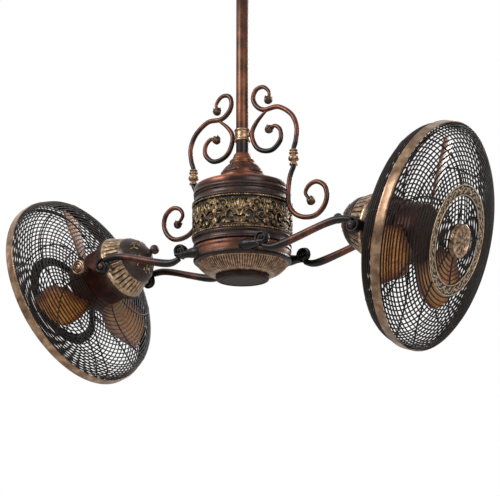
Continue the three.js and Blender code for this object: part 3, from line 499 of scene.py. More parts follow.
def curl(u, h, radius, start, turns, width, hand=1):
    """A spiral stem that winds in to (u, h) from a radius, with a bud in its eye."""
    points = []
    for k in range(int(turns * 8) + 1):
        angle = math.radians(start) + hand * k * math.pi / 4
        at = radius * (1 - 0.72 * k / (turns * 8))
        points.append((u + at * math.sin(angle), h + at * math.cos(angle)))
    return [tendril(points, width, 3), leaf(u, h - width * 0.9, width * 1.9, width * 1.9, 0, 2.3)]


def joined(pieces, name):
    """The pieces as one, which is left selected alone."""
    pick(pieces[0])
    for piece in pieces:
        piece.select_set(True)
    bpy.ops.object.join()
    bpy.context.object.name = name
    return bpy.context.object


def duplicate(model):
    """A copy of a piece, with its own mesh."""
    piece = model.copy()
    piece.data = model.data.copy()
    bpy.context.collection.objects.link(piece)
    return piece


def mirrored(pieces):
    """The pieces, and the same ones on the other side of u = 0."""
    twins = [duplicate(piece) for piece in pieces]
    for twin in twins:
        twin.data.transform(Matrix.Diagonal((-1, 1, 1, 1)))
        twin.data.flip_normals()
    return [*pieces, *twins]


def wrapped(motif, count, bend):
    """Copies of a flat motif, number k bent round by bend(k, u, depth, h). The motif goes."""
    copies = []
    for k in range(count):
        part = duplicate(motif)
        for vertex in part.data.vertices:
            vertex.co = bend(k, *vertex.co)
        copies.append(part)
    bpy.data.objects.remove(motif)
    return copies


def relief_motif():
    """One repeat of the band, flat: u along the band in millimetres from its middle, h up."""
    centre = [leaf(0, 32, 31, 12, 0, 3.2), leaf(0, 6, 15, 13, 0, 2.6), leaf(0, 23, 10, 17, 0, 3),
              leaf(0, 3, 8, 20, 0, 2.2)]
    half = [leaf(1.5, 33, 29, 10, 20, 2.8), leaf(3, 32, 26, 9.5, 41, 2.7), leaf(4, 31, 21, 9, 63, 2.6),
            leaf(4, 28, 15, 8, 92, 2.5), leaf(3, 20, 15, 8, 122, 2.4), leaf(2, 11, 15, 8, 70, 2.4),
            tendril([(2, 23), (8, 35), (18, 38), (27, 32), (28, 21), (20, 13), (12, 17), (13, 25)], 4.4),
            tendril([(6, 7), (17, 6), (30, 7), (39, 14)], 3.8),
            leaf(16, 19, 9, 9, 10, 2.9), leaf(23, 37, 15, 8, -14, 2.6), leaf(20, 39, 16, 8, 26, 2.6),
            leaf(26, 36, 16, 8, 55, 2.4), leaf(30, 30, 14, 7.5, 20, 2.5), leaf(30, 23, 14, 7.5, 66, 2.4),
            leaf(28, 17, 12, 7, 112, 2.3), leaf(11, 9, 9, 7, -38, 2.2), leaf(19, 7, 11, 7, 24, 2.2),
            leaf(28, 7, 10, 7, -20, 2.2), leaf(13, 50, 15, 8, 58, 2.5), leaf(5, 58, 12, 7, 76, 2.2),
            leaf(14, 58, 12, 7, 100, 2.2), leaf(9, 40, 12, 6.5, 40, 2.2)]
    half += curl(35, 51, 9.5, 200, 1.6, 4.0)
    half += curl(44, 23, 8.5, 20, 1.5, 3.8, -1)
    half += [tendril([(28, 33), (37, 38), (46, 37), (52, 45)], 3.8), leaf(42, 37, 17, 9, -8, 2.6),
             leaf(46, 36, 17, 9, 22, 2.6), leaf(41, 50, 14, 8, 38, 2.4), leaf(46, 11, 12, 8, 34, 2.2),
             leaf(36, 8, 12, 8, -16, 2.2), leaf(22, 57, 12, 7.5, 86, 2.3), leaf(33, 60, 12, 7, 84, 2.2),
             leaf(40, 5, 12, 7, 76, 2.2), leaf(24, 46, 12, 7, -30, 2.3), leaf(48, 30, 11, 7, 100, 2.3),
             leaf(36, 30, 10, 7, 130, 2.2), leaf(44, 58, 11, 7, 84, 2.2), leaf(52, 22, 10, 6, 10, 2.2)]
    between = [leaf(SWING / 2, 28, 15, 12, 0, 2.8), leaf(SWING / 2, 44, 20, 12, 0, 2.8),
               leaf(SWING / 2, 6, 18, 12, 0, 2.5)]
    return joined([*centre, *mirrored(half), *between], "relief_motif")


def band_edge(height):
    """A rim of the band with a row of small beads on it."""
    rim = turned("band_rim", [(radius, height + z) for radius, z in BAND_RIM], 160, closed=True)
    beads = []
    for k in range(BEADS):
        angle = 2 * math.pi * k / BEADS
        deselect()
        bpy.ops.mesh.primitive_ico_sphere_add(subdivisions=1, radius=BEAD_R * MM)
        bead = bpy.context.object
        bead.data.transform(Matrix.Translation((BEAD_AT * MM * math.cos(angle),
                                                BEAD_AT * MM * math.sin(angle), height * MM)))
        beads.append(bead)
    return [rim, *beads]


def round_housing(k, u, depth, h):
    """Bends the band's repeat k round the drum."""
    angle = FACING + (u + k * SWING) / BAND_R
    radius = (BAND_R + BAND_PROUD - depth) * MM
    return radius * math.sin(angle), -radius * math.cos(angle), (BAND_BASE + h) * MM


filigree = joined([*wrapped(relief_motif(), REPEATS, round_housing), *band_edge(BAND_BASE + 2.1),
                   *band_edge(BAND_BASE + BAND_H - 2.2)], "gilt_filigree")
bpy.ops.object.shade_smooth_by_angle(angle=math.radians(RELIEF_CREASE))
settle(filigree, to_fan)


def hollow_shade(radius_low, radius_high, amount):
    """A painted shade for the ground of a relief round the fan's axis: full at one radius, none at the other.
    """
    def shade(tree, place):
        flat = add_node(tree, "ShaderNodeVectorMath", {0: place, 1: (1.0, 1.0, 0.0)}, operation="MULTIPLY")
        out = add_node(tree, "ShaderNodeVectorMath", {0: flat.outputs["Vector"]}, operation="LENGTH")
        return add_node(tree, "ShaderNodeMapRange", {
            "Value": out.outputs["Value"], "From Min": radius_low * MM, "From Max": radius_high * MM,
            "To Min": amount, "To Max": 0.0}).outputs["Result"]
    return shade


# antique gold over black: rubbed bright on the crests, with painted shade darkening the hollows
gilt = rubbed_lacquer("antique gold rubbed over black", "#120c08", "#6a553a", "#bfa988", 0.72, 0.34, 9,
                      hollow_shade(101.3, 103.6, 0.5))
finish_piece(filigree, "mount_stem", "bronze_casting", gilt, "filigree_band")


# ------------------------------------------------------------------ scroll collar
# A turned bronze collar clamps the scrolls to the rod with a set screw. It has a bead at each edge, a
# waist, and two lugs that take the scrolls' spirals.
COLLAR_MID = 244
COLLAR = [(14, 231), (16.6, 231.2), (17, 233), (16.6, 235), (15.6, 236), (15.4, 239), (15.8, 244),
          (15.4, 249), (15.6, 252), (16.6, 253), (17, 255), (16.6, 256.8), (14, 257)]
SCREW_ANGLE = math.radians(254)
SCREW_R = 2.6
SCREW_LENGTH = 2.4
SOCKET_WALL = 0.9
SOCKET_DEPTH = 1.2
LUG_AT = 15.7
LUG = (3.4, 4, 6)


def open_faces(piece, wanted):
    """Opens the active piece in edit mode with those faces selected for which wanted(face) is true."""
    bpy.ops.object.mode_set(mode="EDIT")
    bpy.ops.mesh.select_mode(type="FACE")
    bpy.ops.object.mode_set(mode="OBJECT")
    for face in piece.data.polygons:
        face.select = wanted(face)
    bpy.ops.object.mode_set(mode="EDIT")


# brown-gold bronze: rubbed pale on the beads, with painted shade in the carved grooves
bronze = rubbed_lacquer("antique bronze, rubbed", "#2b1e15", "#7c604a", "#b5957a", 0.75, 0.32, 9, carved=0.5)
collar = turned("rod_collar", [*flowing(COLLAR, 3), (13.7, 257), (13.7, 231)], 96, closed=True)
soften(collar)
deselect()
bpy.ops.mesh.primitive_cylinder_add(vertices=20, radius=SCREW_R * MM, depth=SCREW_LENGTH * MM,
                                    rotation=(0, math.pi / 2, 0), location=(15.4 * MM, 0, COLLAR_MID * MM))
screw = bpy.context.object
open_faces(screw, lambda face: face.normal.z > 0.9 or face.normal.x > 0.9)
bpy.ops.mesh.inset(thickness=SOCKET_WALL * MM)
bpy.ops.mesh.extrude_region_move(TRANSFORM_OT_translate={"value": (-SOCKET_DEPTH * MM, 0, 0)})
bpy.ops.object.mode_set(mode="OBJECT")
bpy.ops.object.transform_apply(location=True, rotation=True, scale=True)
settle(screw, Matrix.Rotation(SCREW_ANGLE, 4, "Z"))
screw.name = "collar_screw"
lugs = []
for turn_angle in (0, math.pi):
    deselect()
    bpy.ops.mesh.primitive_uv_sphere_add(segments=16, ring_count=10, radius=1)
    lug = bpy.context.object
    lug.data.transform(Matrix.Rotation(turn_angle, 4, "Z")
                       @ Matrix.Translation((LUG_AT * MM, 0, COLLAR_MID * MM))
                       @ Matrix.Diagonal((*(half * MM for half in LUG), 1)))
    lugs.append(lug)
collar = joined([collar, *lugs], "rod_collar")
settle(collar, to_fan)
settle(screw, to_fan)
finish_piece(collar, "mount_stem", "aged_bronze", bronze, "scroll_collar")
finish_piece(screw, "mount_stem", "bare_steel", dark_lacquer)


# ------------------------------------------------------------------ wrought scrolls
# Steel bar, bent cold into two S-scrolls that face each other across the rod. The curls end in cast
# berries with leaves, and a turned finial joins the two halves of each scroll. The bar is rubbed
# copper in its long runs, with painted shade next to the finials.
BAR_R = 5.25
SCROLL_X = 124
TOP_CURL = [(64, 312), (66, 328), (52, 342), (34, 339), (27, 321), (35, 303), (54, 291), (88, 291),
            (119, 269), (132, 240), (130, 212), (125.5, 197.6), (124, 191.6)]
TOP_RADII = [3.4, 3.8, 4.4, 4.9, *[BAR_R] * (len(TOP_CURL) - 4)]
SPIRAL = [(62, 290.5), (36, 268), (23.9, 244), (33, 215), (52, 201.5), (75, 201), (93, 218), (93, 239),
          (80, 251), (66, 247)]
SPIRAL_RADII = [2.6, 4.4, *[BAR_R] * (len(SPIRAL) - 5), 4.7, 4.2, 3.6]
LOWER_CURL = [(124, 156.5), (122.5, 152.5), (116, 138), (112, 118), (110.6, 97), (112.6, 76), (125, 56),
              (146, 45), (172, 44.5), (191, 58), (200, 80), (195, 102), (177, 114), (159, 109),
              (151, 94), (163, 77)]
LOWER_RADII = [*[BAR_R] * (len(LOWER_CURL) - 4), 4.9, 4.5, 4, 3.4]
FINIAL = [(0.01, 157.2), (7.8, 157.4), (9, 159.4), (8.2, 161.8), (6.2, 163.2), (6, 165), (8, 166.6),
          (10.4, 168.6), (11.1, 171.4), (10.9, 174), (9.6, 176.2), (7, 177.8), (6.8, 180), (9.2, 182),
          (9.6, 184), (7.8, 186), (6.6, 187.2), (8.6, 188.8), (7.8, 190.4), (0.01, 190.8)]
FINIAL_MID = 174


def bent_bar(name, points, radii, sides=16, steps=6):
    """A round bar through 3-D points in millimetres, with a radius at each point."""
    line = flowing([(*p, r) for p, r in zip(points, radii)], steps)
    curve = bpy.data.curves.new(name, "CURVE")
    curve.dimensions = "3D"
    curve.bevel_depth = MM
    curve.bevel_resolution = (sides - 4) // 2
    curve.use_fill_caps = True
    curve.twist_mode = "MINIMUM"
    spline = curve.splines.new("POLY")
    spline.points.add(len(line) - 1)
    for knot, (x, y, z, r) in zip(spline.points, line):
        knot.co = (x * MM, y * MM, z * MM, 1)
        knot.radius = r
    piece = as_mesh(name, curve)
    bpy.ops.object.shade_smooth_by_angle(angle=math.radians(RELIEF_CREASE))
    return piece


def flat_bar(name, path, radii):
    """A round bar bent in one plane, through (x, z) points."""
    return bent_bar(name, [(x, 0, z) for x, z in path], radii)


def berry(at, size, aim):
    """A cast berry in a calyx of five leaves, at (x, z), turned by aim in the scroll's plane."""
    deselect()
    bpy.ops.mesh.primitive_uv_sphere_add(segments=20, ring_count=14, radius=1)
    nut = bpy.context.object
    for vertex in nut.data.vertices:
        x, y, z = vertex.co
        around = math.atan2(y, x)
        swell = 1 + 0.09 * math.cos(5 * around) * (1 - z * z)
        hood = 0.86 if z < -0.3 else 1.0
        vertex.co = (x * swell * hood, y * swell * hood, z * 1.02)
    nut.data.transform(Matrix.Diagonal((size * MM, size * 0.92 * MM, size * MM, 1)))
    pieces = [nut]
    for k in range(5):
        deselect()
        bpy.ops.mesh.primitive_uv_sphere_add(segments=10, ring_count=8, radius=1)
        petal = bpy.context.object
        petal.data.transform(Matrix.Rotation(2 * math.pi * k / 5, 4, "Z")
                             @ Matrix.Translation((size * 0.72 * MM, 0, -size * 0.25 * MM))
                             @ Matrix.Rotation(math.radians(-16), 4, "Y")
                             @ Matrix.Diagonal((size * 0.2 * MM, size * 0.38 * MM, size * 0.62 * MM, 1)))
        pieces.append(petal)
    bud = joined(pieces, "bud")
    settle(bud, Matrix.Translation((at[0] * MM, 0, at[1] * MM)) @ Matrix.Rotation(aim, 4, "Y"))
    return bud


def bar_shade(tree, place):
    """Painted shade on the bars' straight ends, next to the finials."""
    parts = add_node(tree, "ShaderNodeSeparateXYZ", {"Vector": place})
    off = add_node(tree, "ShaderNodeMath", {0: parts.outputs["Z"], 1: FINIAL_MID * MM + GAP_HEIGHT},
                   operation="SUBTRACT")
    near = add_node(tree, "ShaderNodeMath", {0: off.outputs[0]}, operation="ABSOLUTE")
    return add_node(tree, "ShaderNodeMapRange", {
        "Value": near.outputs[0], "From Min": 0.024, "From Max": 0.05, "To Min": 0.36, "To Max": 0.0},
        interpolation_type="SMOOTHSTEP").outputs["Result"]


# red-brown lacquer, rubbed to copper in patches, with painted shade next to the finials
bar_copper = rubbed_lacquer("rubbed copper lacquer on bar", "#120a08", "#381c11", "#69391f", 0.6, 0.34, 26,
                            bar_shade)
upper_bar = flat_bar("upper", TOP_CURL, TOP_RADII)
spiral_bar = flat_bar("spiral", SPIRAL, SPIRAL_RADII)
lower_bar = flat_bar("lower", LOWER_CURL, LOWER_RADII)
upper_scroll = joined([upper_bar, spiral_bar], "upper_scroll")
upper_buds = joined([berry((64, 311), 9.2, math.pi), berry((65, 246.5), 9.2, math.radians(215))],
                    "upper_buds")
lower_bud = berry((163.5, 76), 9, math.radians(150))
finial = turned("scroll_finial", flowing(FINIAL, 3), 48)
soften(finial)
settle(finial, Matrix.Translation((SCROLL_X * MM, 0, 0)))
# dark bronze with small rubbed spots
bud_bronze = rubbed_lacquer("dark bronze, rubbed on the leaves", "#120d0a", "#33241b", "#6d5237", 0.75, 0.36,
                            6)
for side, angle in (("right", 0), ("left", math.pi)):
    for model, slot, finish, nodes in (
            (upper_scroll, "copper_paint", bar_copper, ["scroll_upper_" + side]),
            (upper_buds, "copper_paint", bud_bronze, []),
            (finial, "aged_bronze", bronze, ["scroll_finial_" + side]),
            (lower_bar, "copper_paint", bar_copper, ["scroll_lower_" + side]),
            (lower_bud, "copper_paint", bud_bronze, [])):
        part = duplicate(model)
        settle(part, to_fan @ Matrix.Rotation(angle, 4, "Z"))
        part.name = f"{model.name}_{side}"
        finish_piece(part, "mount_stem", slot, finish, *nodes)
for model in (upper_scroll, upper_buds, finial, lower_bar, lower_bud):
    bpy.data.objects.remove(model)


# ------------------------------------------------------------------ turning ring, dish and bottom cap
# The cast ring carries the four arms and turns with them. A bronze dish with about a hundred fine
# ribs closes it below, and a dark cap covers the dish's middle.
RING = [(94.5, -31.8), (97.4, -31.2), (99.6, -29.4), (100.5, -26.6), (100.3, -24.6), (99.5, -23.4),
        (99.3, -21.6), (99.5, -16), (99.3, -11.2), (99.6, -9.4), (100.4, -8), (100.5, -5.6), (100, -3),
        (98.6, -0.9)]
DISH = [(54.5, -57.1), (58.7, -57), (66, -55), (74.7, -51.1), (83, -44.6), (89.5, -38.1), (92.4, -34),
        (93.5, -32.2)]
DISH_INSIDE = [(89, -32.2), (71.7, -47.6), (46.7, -53.6), (46.7, -57.1)]
CAP = [(0.01, -67.4), (20, -67.5), (34, -67.6), (40, -67.9), (42, -68.3), (43, -67.4), (44, -67),
       (45, -67.4), (46, -68.4), (49.7, -68), (52.8, -66.6), (54.5, -64), (54.7, -60), (54.6, -57.5)]
DISH_RIBS = 104
RIB_INNER = 60
RIB_TOP = -33
RIB_RELIEF = 0.85

# darker than the lid, with painted shade along the lower edge, where the ring meets the dish
ring_copper = rubbed_lacquer("dark rubbed copper on cast iron", "#1a100d", "#46271a", "#704530", 0.62, 0.36,
                             36, height_shade(-25, -21, 0.34))
ring = turned("turning_ring", [*flowing(RING, 3), (89, -0.9), (89, -31.8)], 160, closed=True)
hang(ring, "carousel", "copper_casting", ring_copper, "arm_ring")


def dish_ribs(angle, radius, height):
    """Fine ribs on the dish's outside, which run out at both of its edges."""
    inside = height > -49 + 0.8 * (radius - 74)
    if radius < RIB_INNER or height > RIB_TOP or inside:
        return 0
    edge = min(1, (radius - RIB_INNER) / 6, (RIB_TOP - height) / 2)
    return RIB_RELIEF * edge * math.cos(DISH_RIBS * angle)


dish = turned("ribbed_bronze_dish", [*flowing(DISH, 3), *DISH_INSIDE], DISH_RIBS * 6, closed=True)
carve(dish, dish_ribs, RIB_RELIEF)
hang(dish, "carousel", "bronze_casting", bronze, "ribbed_dish")

# nearly black and dull, so that it hardly mirrors the room
cap_brown = rubbed_lacquer("brown-black lacquer on spun steel", "#0c0706", "#1c100b", "#34201a", 0, 0.5, 30)
cap_brown.node_tree.nodes["Principled BSDF"].inputs["Specular IOR Level"].default_value = 0.12
cap = turned("bottom_cover", flowing(CAP, 3), 128)
hang(cap, "carousel", "dark_casting", cap_brown, "bottom_cap")


# ------------------------------------------------------------------ volute arms
# Four cast arms leave the ring as tapered tongues, curl into a volute, swing out and end in a second
# volute that holds the head's pivot. They are copper in the middle, with painted shade making both ends
# nearly black.
ARM_Y = 80.5
ARM_HALF = 9
PIVOT = (299.4, -14.8)
INNER_EYE = (99, -9)
ARM_PATH = [(101, -24.6), (119, -30), (141, -28), (182, -17.5), (228, -4.5), (262, 2), (287, 0.4),
            (299.4, -3.9)]
ARM_RADII = [5.6, 7.4, 8.2, 7.6, 7.3, 7.6, 7.2, 6.2]
ARM_MID = 203
TONGUE_PATH = [(40, -16.3), (50, -16.3), (60, -16.3), (70, -16.3), (80, -16.3), (92, -16.3), (101, -16),
               (110, -13)]
TONGUE_RADII = [4, 9, 11.5, 10.6, 8.8, 8, 7, 5]
ROLL_STEPS = 14  # points in a turn of a volute


def rolled_end(centre, outer, start, turns, thick):
    """A volute rolled from a strip as wide as the arm, its axis along Y."""
    count = int(turns * ROLL_STEPS)
    curve = bpy.data.curves.new("volute", "CURVE")
    curve.dimensions = "2D"
    curve.fill_mode = "NONE"
    curve.bevel_depth = thick * MM
    curve.bevel_resolution = 3
    curve.extrude = (ARM_HALF - thick) * MM
    spline = curve.splines.new("POLY")
    spline.points.add(count)
    for k in range(count + 1):
        t = k / count
        angle = math.radians(start) - 2 * math.pi * k / ROLL_STEPS
        at = (outer - thick) * (1 - 0.78 * t)
        spline.points[k].co = ((centre[0] + at * math.cos(angle)) * MM,
                               (centre[1] + at * math.sin(angle)) * MM, 0, 1)
        spline.points[k].radius = 1 - 0.25 * t
    piece = as_mesh("volute", curve)
    settle(piece, Matrix.Rotation(math.pi / 2, 4, "X"))
    bpy.ops.object.shade_smooth_by_angle(angle=math.radians(RELIEF_CREASE))
    return piece


def eye(centre, radius, bulge):
    """A rounded disc that fills a volute, bulge millimetres thick to each side."""
    deselect()
    bpy.ops.mesh.primitive_uv_sphere_add(segments=28, ring_count=16, radius=1)
    disc = bpy.context.object
    disc.data.transform(Matrix.Translation((centre[0] * MM, 0, centre[1] * MM))
                        @ Matrix.Diagonal((radius * MM, bulge * MM, radius * MM, 1)))
    bpy.ops.object.shade_smooth()
    return disc


def arm_shade(tree, place):
    """Painted shade at both ends of the arm, by the ring and the head; clear copper in its middle."""
    parts = add_node(tree, "ShaderNodeSeparateXYZ", {"Vector": place})
    along = add_node(tree, "ShaderNodeMath", {0: parts.outputs["X"]}, operation="ABSOLUTE")
    off = add_node(tree, "ShaderNodeMath", {0: along.outputs[0], 1: ARM_MID * MM}, operation="SUBTRACT")
    ends = add_node(tree, "ShaderNodeMath", {0: off.outputs[0]}, operation="ABSOLUTE")
    return add_node(tree, "ShaderNodeMapRange", {
        "Value": ends.outputs[0], "From Min": 0.03, "From Max": 0.08, "To Min": 0.0, "To Max": 0.5},
        interpolation_type="SMOOTHSTEP").outputs["Result"]


# brown-black lacquer with red copper showing along the sweep, and painted shade at the ends
arm_copper = rubbed_lacquer("rubbed copper lacquer on cast arms", "#0e0907", "#311a10", "#69341f", 0.55, 0.38,
                            30, arm_shade)
sweep = flat_bar("sweep", ARM_PATH, ARM_RADII)
tongue = flat_bar("tongue", TONGUE_PATH, TONGUE_RADII)
inner_roll = rolled_end(INNER_EYE, 17, -100, 1.75, 2.7)
outer_roll = rolled_end(PIVOT, 18.5, 100, 1.7, 2.9)
arm_model = joined([sweep, tongue, inner_roll, outer_roll, eye(INNER_EYE, 15, 4.6), eye(INNER_EYE, 4.6, 9),
                    eye(PIVOT, 16.5, 4.6)], "volute_arm")
for name, angle, side in (("arm_right_near", 0, -1), ("arm_right_far", 0, 1), ("arm_left_near", math.pi, 1),
                          ("arm_left_far", math.pi, -1)):
    arm = duplicate(arm_model)
    settle(arm, to_fan @ Matrix.Rotation(angle, 4, "Z") @ Matrix.Translation((0, side * ARM_Y * MM, 0)))
    arm.name = "wrought_" + name
    finish_piece(arm, "carousel", "copper_paint", arm_copper, name)
bpy.data.objects.remove(arm_model)


# ------------------------------------------------------------------ head: ribbed cup and rear cap
# A cast bronze cup with gadroons round it carries the motor on two bosses. A dark rear cap closes
# it, with leaf tendrils in relief and a ball at its tip. A steel shaft runs through as the pivot.
# Head pieces are made about Z, the head's own axis with the pivot at 0, and then set on both heads.
AXIS_UP = 19.5  # a head's axis passes this far above its pivot
HEAD_LEAN = 108  # degrees from upright, facing out and a little down
HEAD_RIGHT = (Matrix.Translation((PIVOT[0] * MM, 0, GAP_HEIGHT + PIVOT[1] * MM))
              @ Matrix.Rotation(math.radians(HEAD_LEAN), 4, "Y")
              @ Matrix.Translation((-AXIS_UP * MM, 0, 0)) @ Matrix.Rotation(math.pi, 4, "Z"))
HEADS = {"right": HEAD_RIGHT, "left": Matrix.Rotation(math.pi, 4, "Z") @ HEAD_RIGHT}
CUP = [(47, -30), (50, -30), (52, -28.6), (56, -21), (61, -10), (64.6, -2), (65.4, 0), (66.4, 1), (68.4, 3),
       (69, 6), (68.6, 8.8)]
GADROONS = 34
GADROON_BELT = (-29.5, 0.5)
BOSS_R = 8.5
BOSS_LENGTH = 14
BOSS_Y = 64.1
REAR = [(44, -45.3), (38, -51.5), (30, -57.6), (22, -63), (15, -67.4), (8.5, -71), (5.4, -73.8), (0.01, -74)]
REAR_BALL = [(0.01, -73.4), (6.6, -73.6), (5.4, -75.4), (6.6, -78), (9.4, -80.6), (10.5, -84), (10.3, -87.6),
             (8.4, -91.2), (4.8, -93.8), (0.01, -94.7)]
CAP_REPEATS = 6
CAP_FOOT_R = 44.3  # where the relief on the cap's slope begins
CAP_FOOT_Z = -45.6
CAP_IN = 0.795  # what a millimetre up the slope goes inwards, and along the axis
CAP_ALONG = 0.606
CAP_SLOPE = 36.5  # length of the slope, which swells in its middle
CAP_SWELL = 2.0
CAP_GIRTH_R = 42
CAP_OUT = (0.6, 0.8)  # the relief stands out from the axis, and to the rear
PIN = [(0.01, -93.8), (3, -93.5), (5.2, -92.4), (6.4, -90.6), (6, -89.6), (5, -89.6), (5, 89.6), (6, 89.6),
       (6.4, 90.6), (5.2, 92.4), (3, 93.5), (0.01, 93.8)]


def set_on_heads(model, body, slot, material, *stems):
    """Sets a copy of a piece on each head. stems are the nodes that it stands for, less their side."""
    for side, place in HEADS.items():
        piece = duplicate(model)
        settle(piece, place)
        piece.name = f"{model.name}_{side}"
        finish_piece(piece, f"{body}_{side}", slot, material, *[f"{stem}_{side}" for stem in stems])
    bpy.data.objects.remove(model)


def cup_ribs(angle, radius, height):
    """Round gadroons on the cup's outside with sharp valleys between them."""
    low, high = GADROON_BELT
    if not low < height < high or radius < 50:
        return 0
    edge = min(1, (height - low) / 4, (high - height) / 2.5)
    return edge * (2.0 * abs(math.cos(GADROONS / 2 * angle)) ** 0.7 - 1.5)


cup = turned("ribbed_cup", [*flowing(CUP, 4), (61.8, 9), (61.8, 2), (48, -26)], GADROONS * 8, closed=True)
carve(cup, cup_ribs, 1.5)
soften(cup)
bosses = []
for hand in (-1, 1):
    deselect()
    bpy.ops.mesh.primitive_cylinder_add(vertices=40, radius=BOSS_R * MM, depth=BOSS_LENGTH * MM,
                                        rotation=(math.pi / 2, 0, 0),
                                        location=(-AXIS_UP * MM, hand * BOSS_Y * MM, 0))
    boss = bpy.context.object
    bpy.ops.object.transform_apply(location=True, rotation=True, scale=True)
    soften(boss, 1.5, 3)
    bosses.append(boss)
cup = joined([cup, *bosses], "ribbed_cup")
# paler than the dish's bronze: crests nearly cream, valleys brown-black with painted shade
cup_bronze = rubbed_lacquer("champagne bronze on the cup", "#261a12", "#83694f", "#cfb79b", 0.75, 0.32, 9,
                            carved=0.5)
set_on_heads(cup, "head", "bronze_casting", cup_bronze, "motor_cup")


def round_cap(k, u, depth, h):
    """Bends the relief's repeat k round the cap and lays it on the slope."""
    radius = CAP_FOOT_R - CAP_IN * h - CAP_OUT[0] * depth
    angle = 2 * math.pi * k / CAP_REPEATS + u / CAP_GIRTH_R
    swell = CAP_SWELL * math.sin(math.pi * h / CAP_SLOPE)
    return (radius * MM * math.cos(angle), radius * MM * math.sin(angle),
            (CAP_FOOT_Z - CAP_ALONG * h - swell + CAP_OUT[1] * depth) * MM)


def cap_scrollwork():
    """Leaves and curls in relief, repeated round the middle of the cap's slope."""
    repeat = [tendril([(-12, 6), (-5, 14), (3, 13), (4, 7), (-1, 6)], 2.1),
              tendril([(3, 14), (9, 20), (6, 26), (1, 23)], 1.9),
              leaf(-6, 14, 11, 4.4, -24, 1.1), leaf(9, 8, 9, 4, 40, 1.1), leaf(6, 20, 8, 3.6, 55, 1.1)]
    work = joined(wrapped(joined(repeat, "cap_motif"), CAP_REPEATS, round_cap), "cap_scrollwork")
    bpy.ops.object.shade_smooth_by_angle(angle=math.radians(RELIEF_CREASE))
    return work


# satin black-brown, and gold left only on the relief
rear_paint = rubbed_lacquer("near-black lacquer", "#0f0b0a", "#261a15", "#42302a", 0.5, 0.38, 22)
dull_gold = rubbed_lacquer("dull gold wiped over black", "#2a1d12", "#8b6f4a", "#c6a97c", 0.65, 0.38, 5)
rear = turned("rear_cover", [(48, -30.3), (52, -30.3), (51.6, -33), (49, -39), *flowing(REAR, 3)], 128)
soften(rear)
set_on_heads(rear, "head", "dark_casting", rear_paint, "rear_cap")
set_on_heads(cap_scrollwork(), "head", "dark_casting", dull_gold)
rear_ball = turned("rear_ball", flowing(REAR_BALL, 3), 48)
soften(rear_ball)
set_on_heads(rear_ball, "head", "dark_casting", dark_lacquer)

pin = turned("pivot_pin", PIN, 40)
soften(pin)
settle(pin, Matrix.Translation((-AXIS_UP * MM, 0, 0)) @ Matrix.Rotation(math.pi / 2, 4, "X"))
set_on_heads(pin, "head", "dark_paint", dark_lacquer, "pivot_shaft")


# ------------------------------------------------------------------ head: slotted collar and motor body
# A dark collar with a row of small cooling holes stands between the cup and the motor. The motor
# body is a drawn steel drum in brown-black lacquer.
SLOTS = 60
SLOT_BELT = (13, 17)
SLOT_WALL = 0.5
SLOT_DEPTH = 3
COLLAR_FACE_R = 69  # the outer face lies beyond this radius
BODY = [(40, 10), (61.5, 10), (61.5, 62), (61.2, 64.4), (59.8, 65.8), (57, 66), (5.3, 66), (5.3, 64),
        (40, 64)]


def slot_face(face):
    """Every third face of the collar's outer belt becomes a slot."""
    middle = face.center / MM
    around = math.degrees(math.atan2(middle.y, middle.x)) % (360 / SLOTS)
    on_belt = math.hypot(middle.x, middle.y) > COLLAR_FACE_R and SLOT_BELT[0] < middle.z < SLOT_BELT[1]
    return on_belt and around < 120 / SLOTS


vented = turned("vented_collar", [(61.8, 9.3), (69.2, 9.3), (70, 10.2), (70, 12.4), (69.9, 17.4),
                                  (69.7, 19.4), (69, 20.3), (61.8, 20.3)], SLOTS * 3, closed=True)
open_faces(vented, slot_face)
bpy.ops.mesh.inset(thickness=SLOT_WALL * MM, use_individual=True)
bpy.ops.mesh.inset(thickness=0, depth=-SLOT_DEPTH * MM, use_individual=True)
bpy.ops.object.mode_set(mode="OBJECT")
soften(vented)
set_on_heads(vented, "head", "dark_casting", dark_lacquer, "slotted_collar")

# dark brown with a warm, metallic sheen
motor_brown = rubbed_lacquer("brown-black lacquer on drawn steel", "#1a100d", "#3a2019", "#5e3325", 0.7,
                             0.36, 36)
drum_body = turned("motor_drum", BODY, 128, closed=True)
soften(drum_body)
set_on_heads(drum_body, "head", "dark_casting", motor_brown, "motor_body")


# ------------------------------------------------------------------ head: bronze cage band
# A rolled hoop of champagne bronze clips the two wire grilles together. Its edges are rolled over,
# and patina mottles its face.
HOOP = [(215.4, 122.3), (216.2, 122.3), (217.2, 123), (217.55, 124.4), (217.35, 126), (217.5, 131.75),
        (217.35, 137.4), (217.55, 139.1), (217.2, 140.5), (216.2, 141.2), (215.4, 141.2)]

# champagne-coloured, with clouds of brown patina a few centimetres wide
hoop_bronze = rubbed_lacquer("champagne bronze, mottled patina", "#3a2a1f", "#705743", "#ab8d71", 0.78, 0.3,
                             26)
hoop = turned("bronze_hoop", HOOP, 256, closed=True)
soften(hoop)
set_on_heads(hoop, "head", "aged_bronze", hoop_bronze, "cage_band")


# ------------------------------------------------------------------ head: wire grilles
# Each grille is spot-welded from steel wire rings on curved radial wires, and dipped in black-brown
# lacquer. The rings stand close on the steep wall by the hoop and wider over the face.
# Spacings are measured along the dome.
WIRE_R = 1.5
SPOKE_R = 1.6
SPOKE_DROP = 0.9  # the radial wires lie this much lower along the axis than the rings
WALL_GAP = 4.6  # between rings on the steep wall
FACE_GAP = 7.4  # between rings over the face
REAR_WALL_R = 196  # the wall lies outside this radius
FRONT_WALL_R = 200
REAR_LINE = [(213.4, 127), (212.3, 119), (211, 111), (206, 100.4), (197, 93.5), (184, 86.6), (168, 80.4),
             (139, 73.4), (104, 69.4), (84, 67.6), (72.5, 66.6), (63.6, 64.5)]
FRONT_LINE = [(213.2, 136), (211.6, 141), (208.6, 145), (199, 150.6), (184, 156.6), (154, 165.6),
              (130, 170.4), (108, 173.4), (94.5, 174.4), (72, 174.6), (52, 174.7), (26, 174.8)]
SPOKE_COUNT = 8
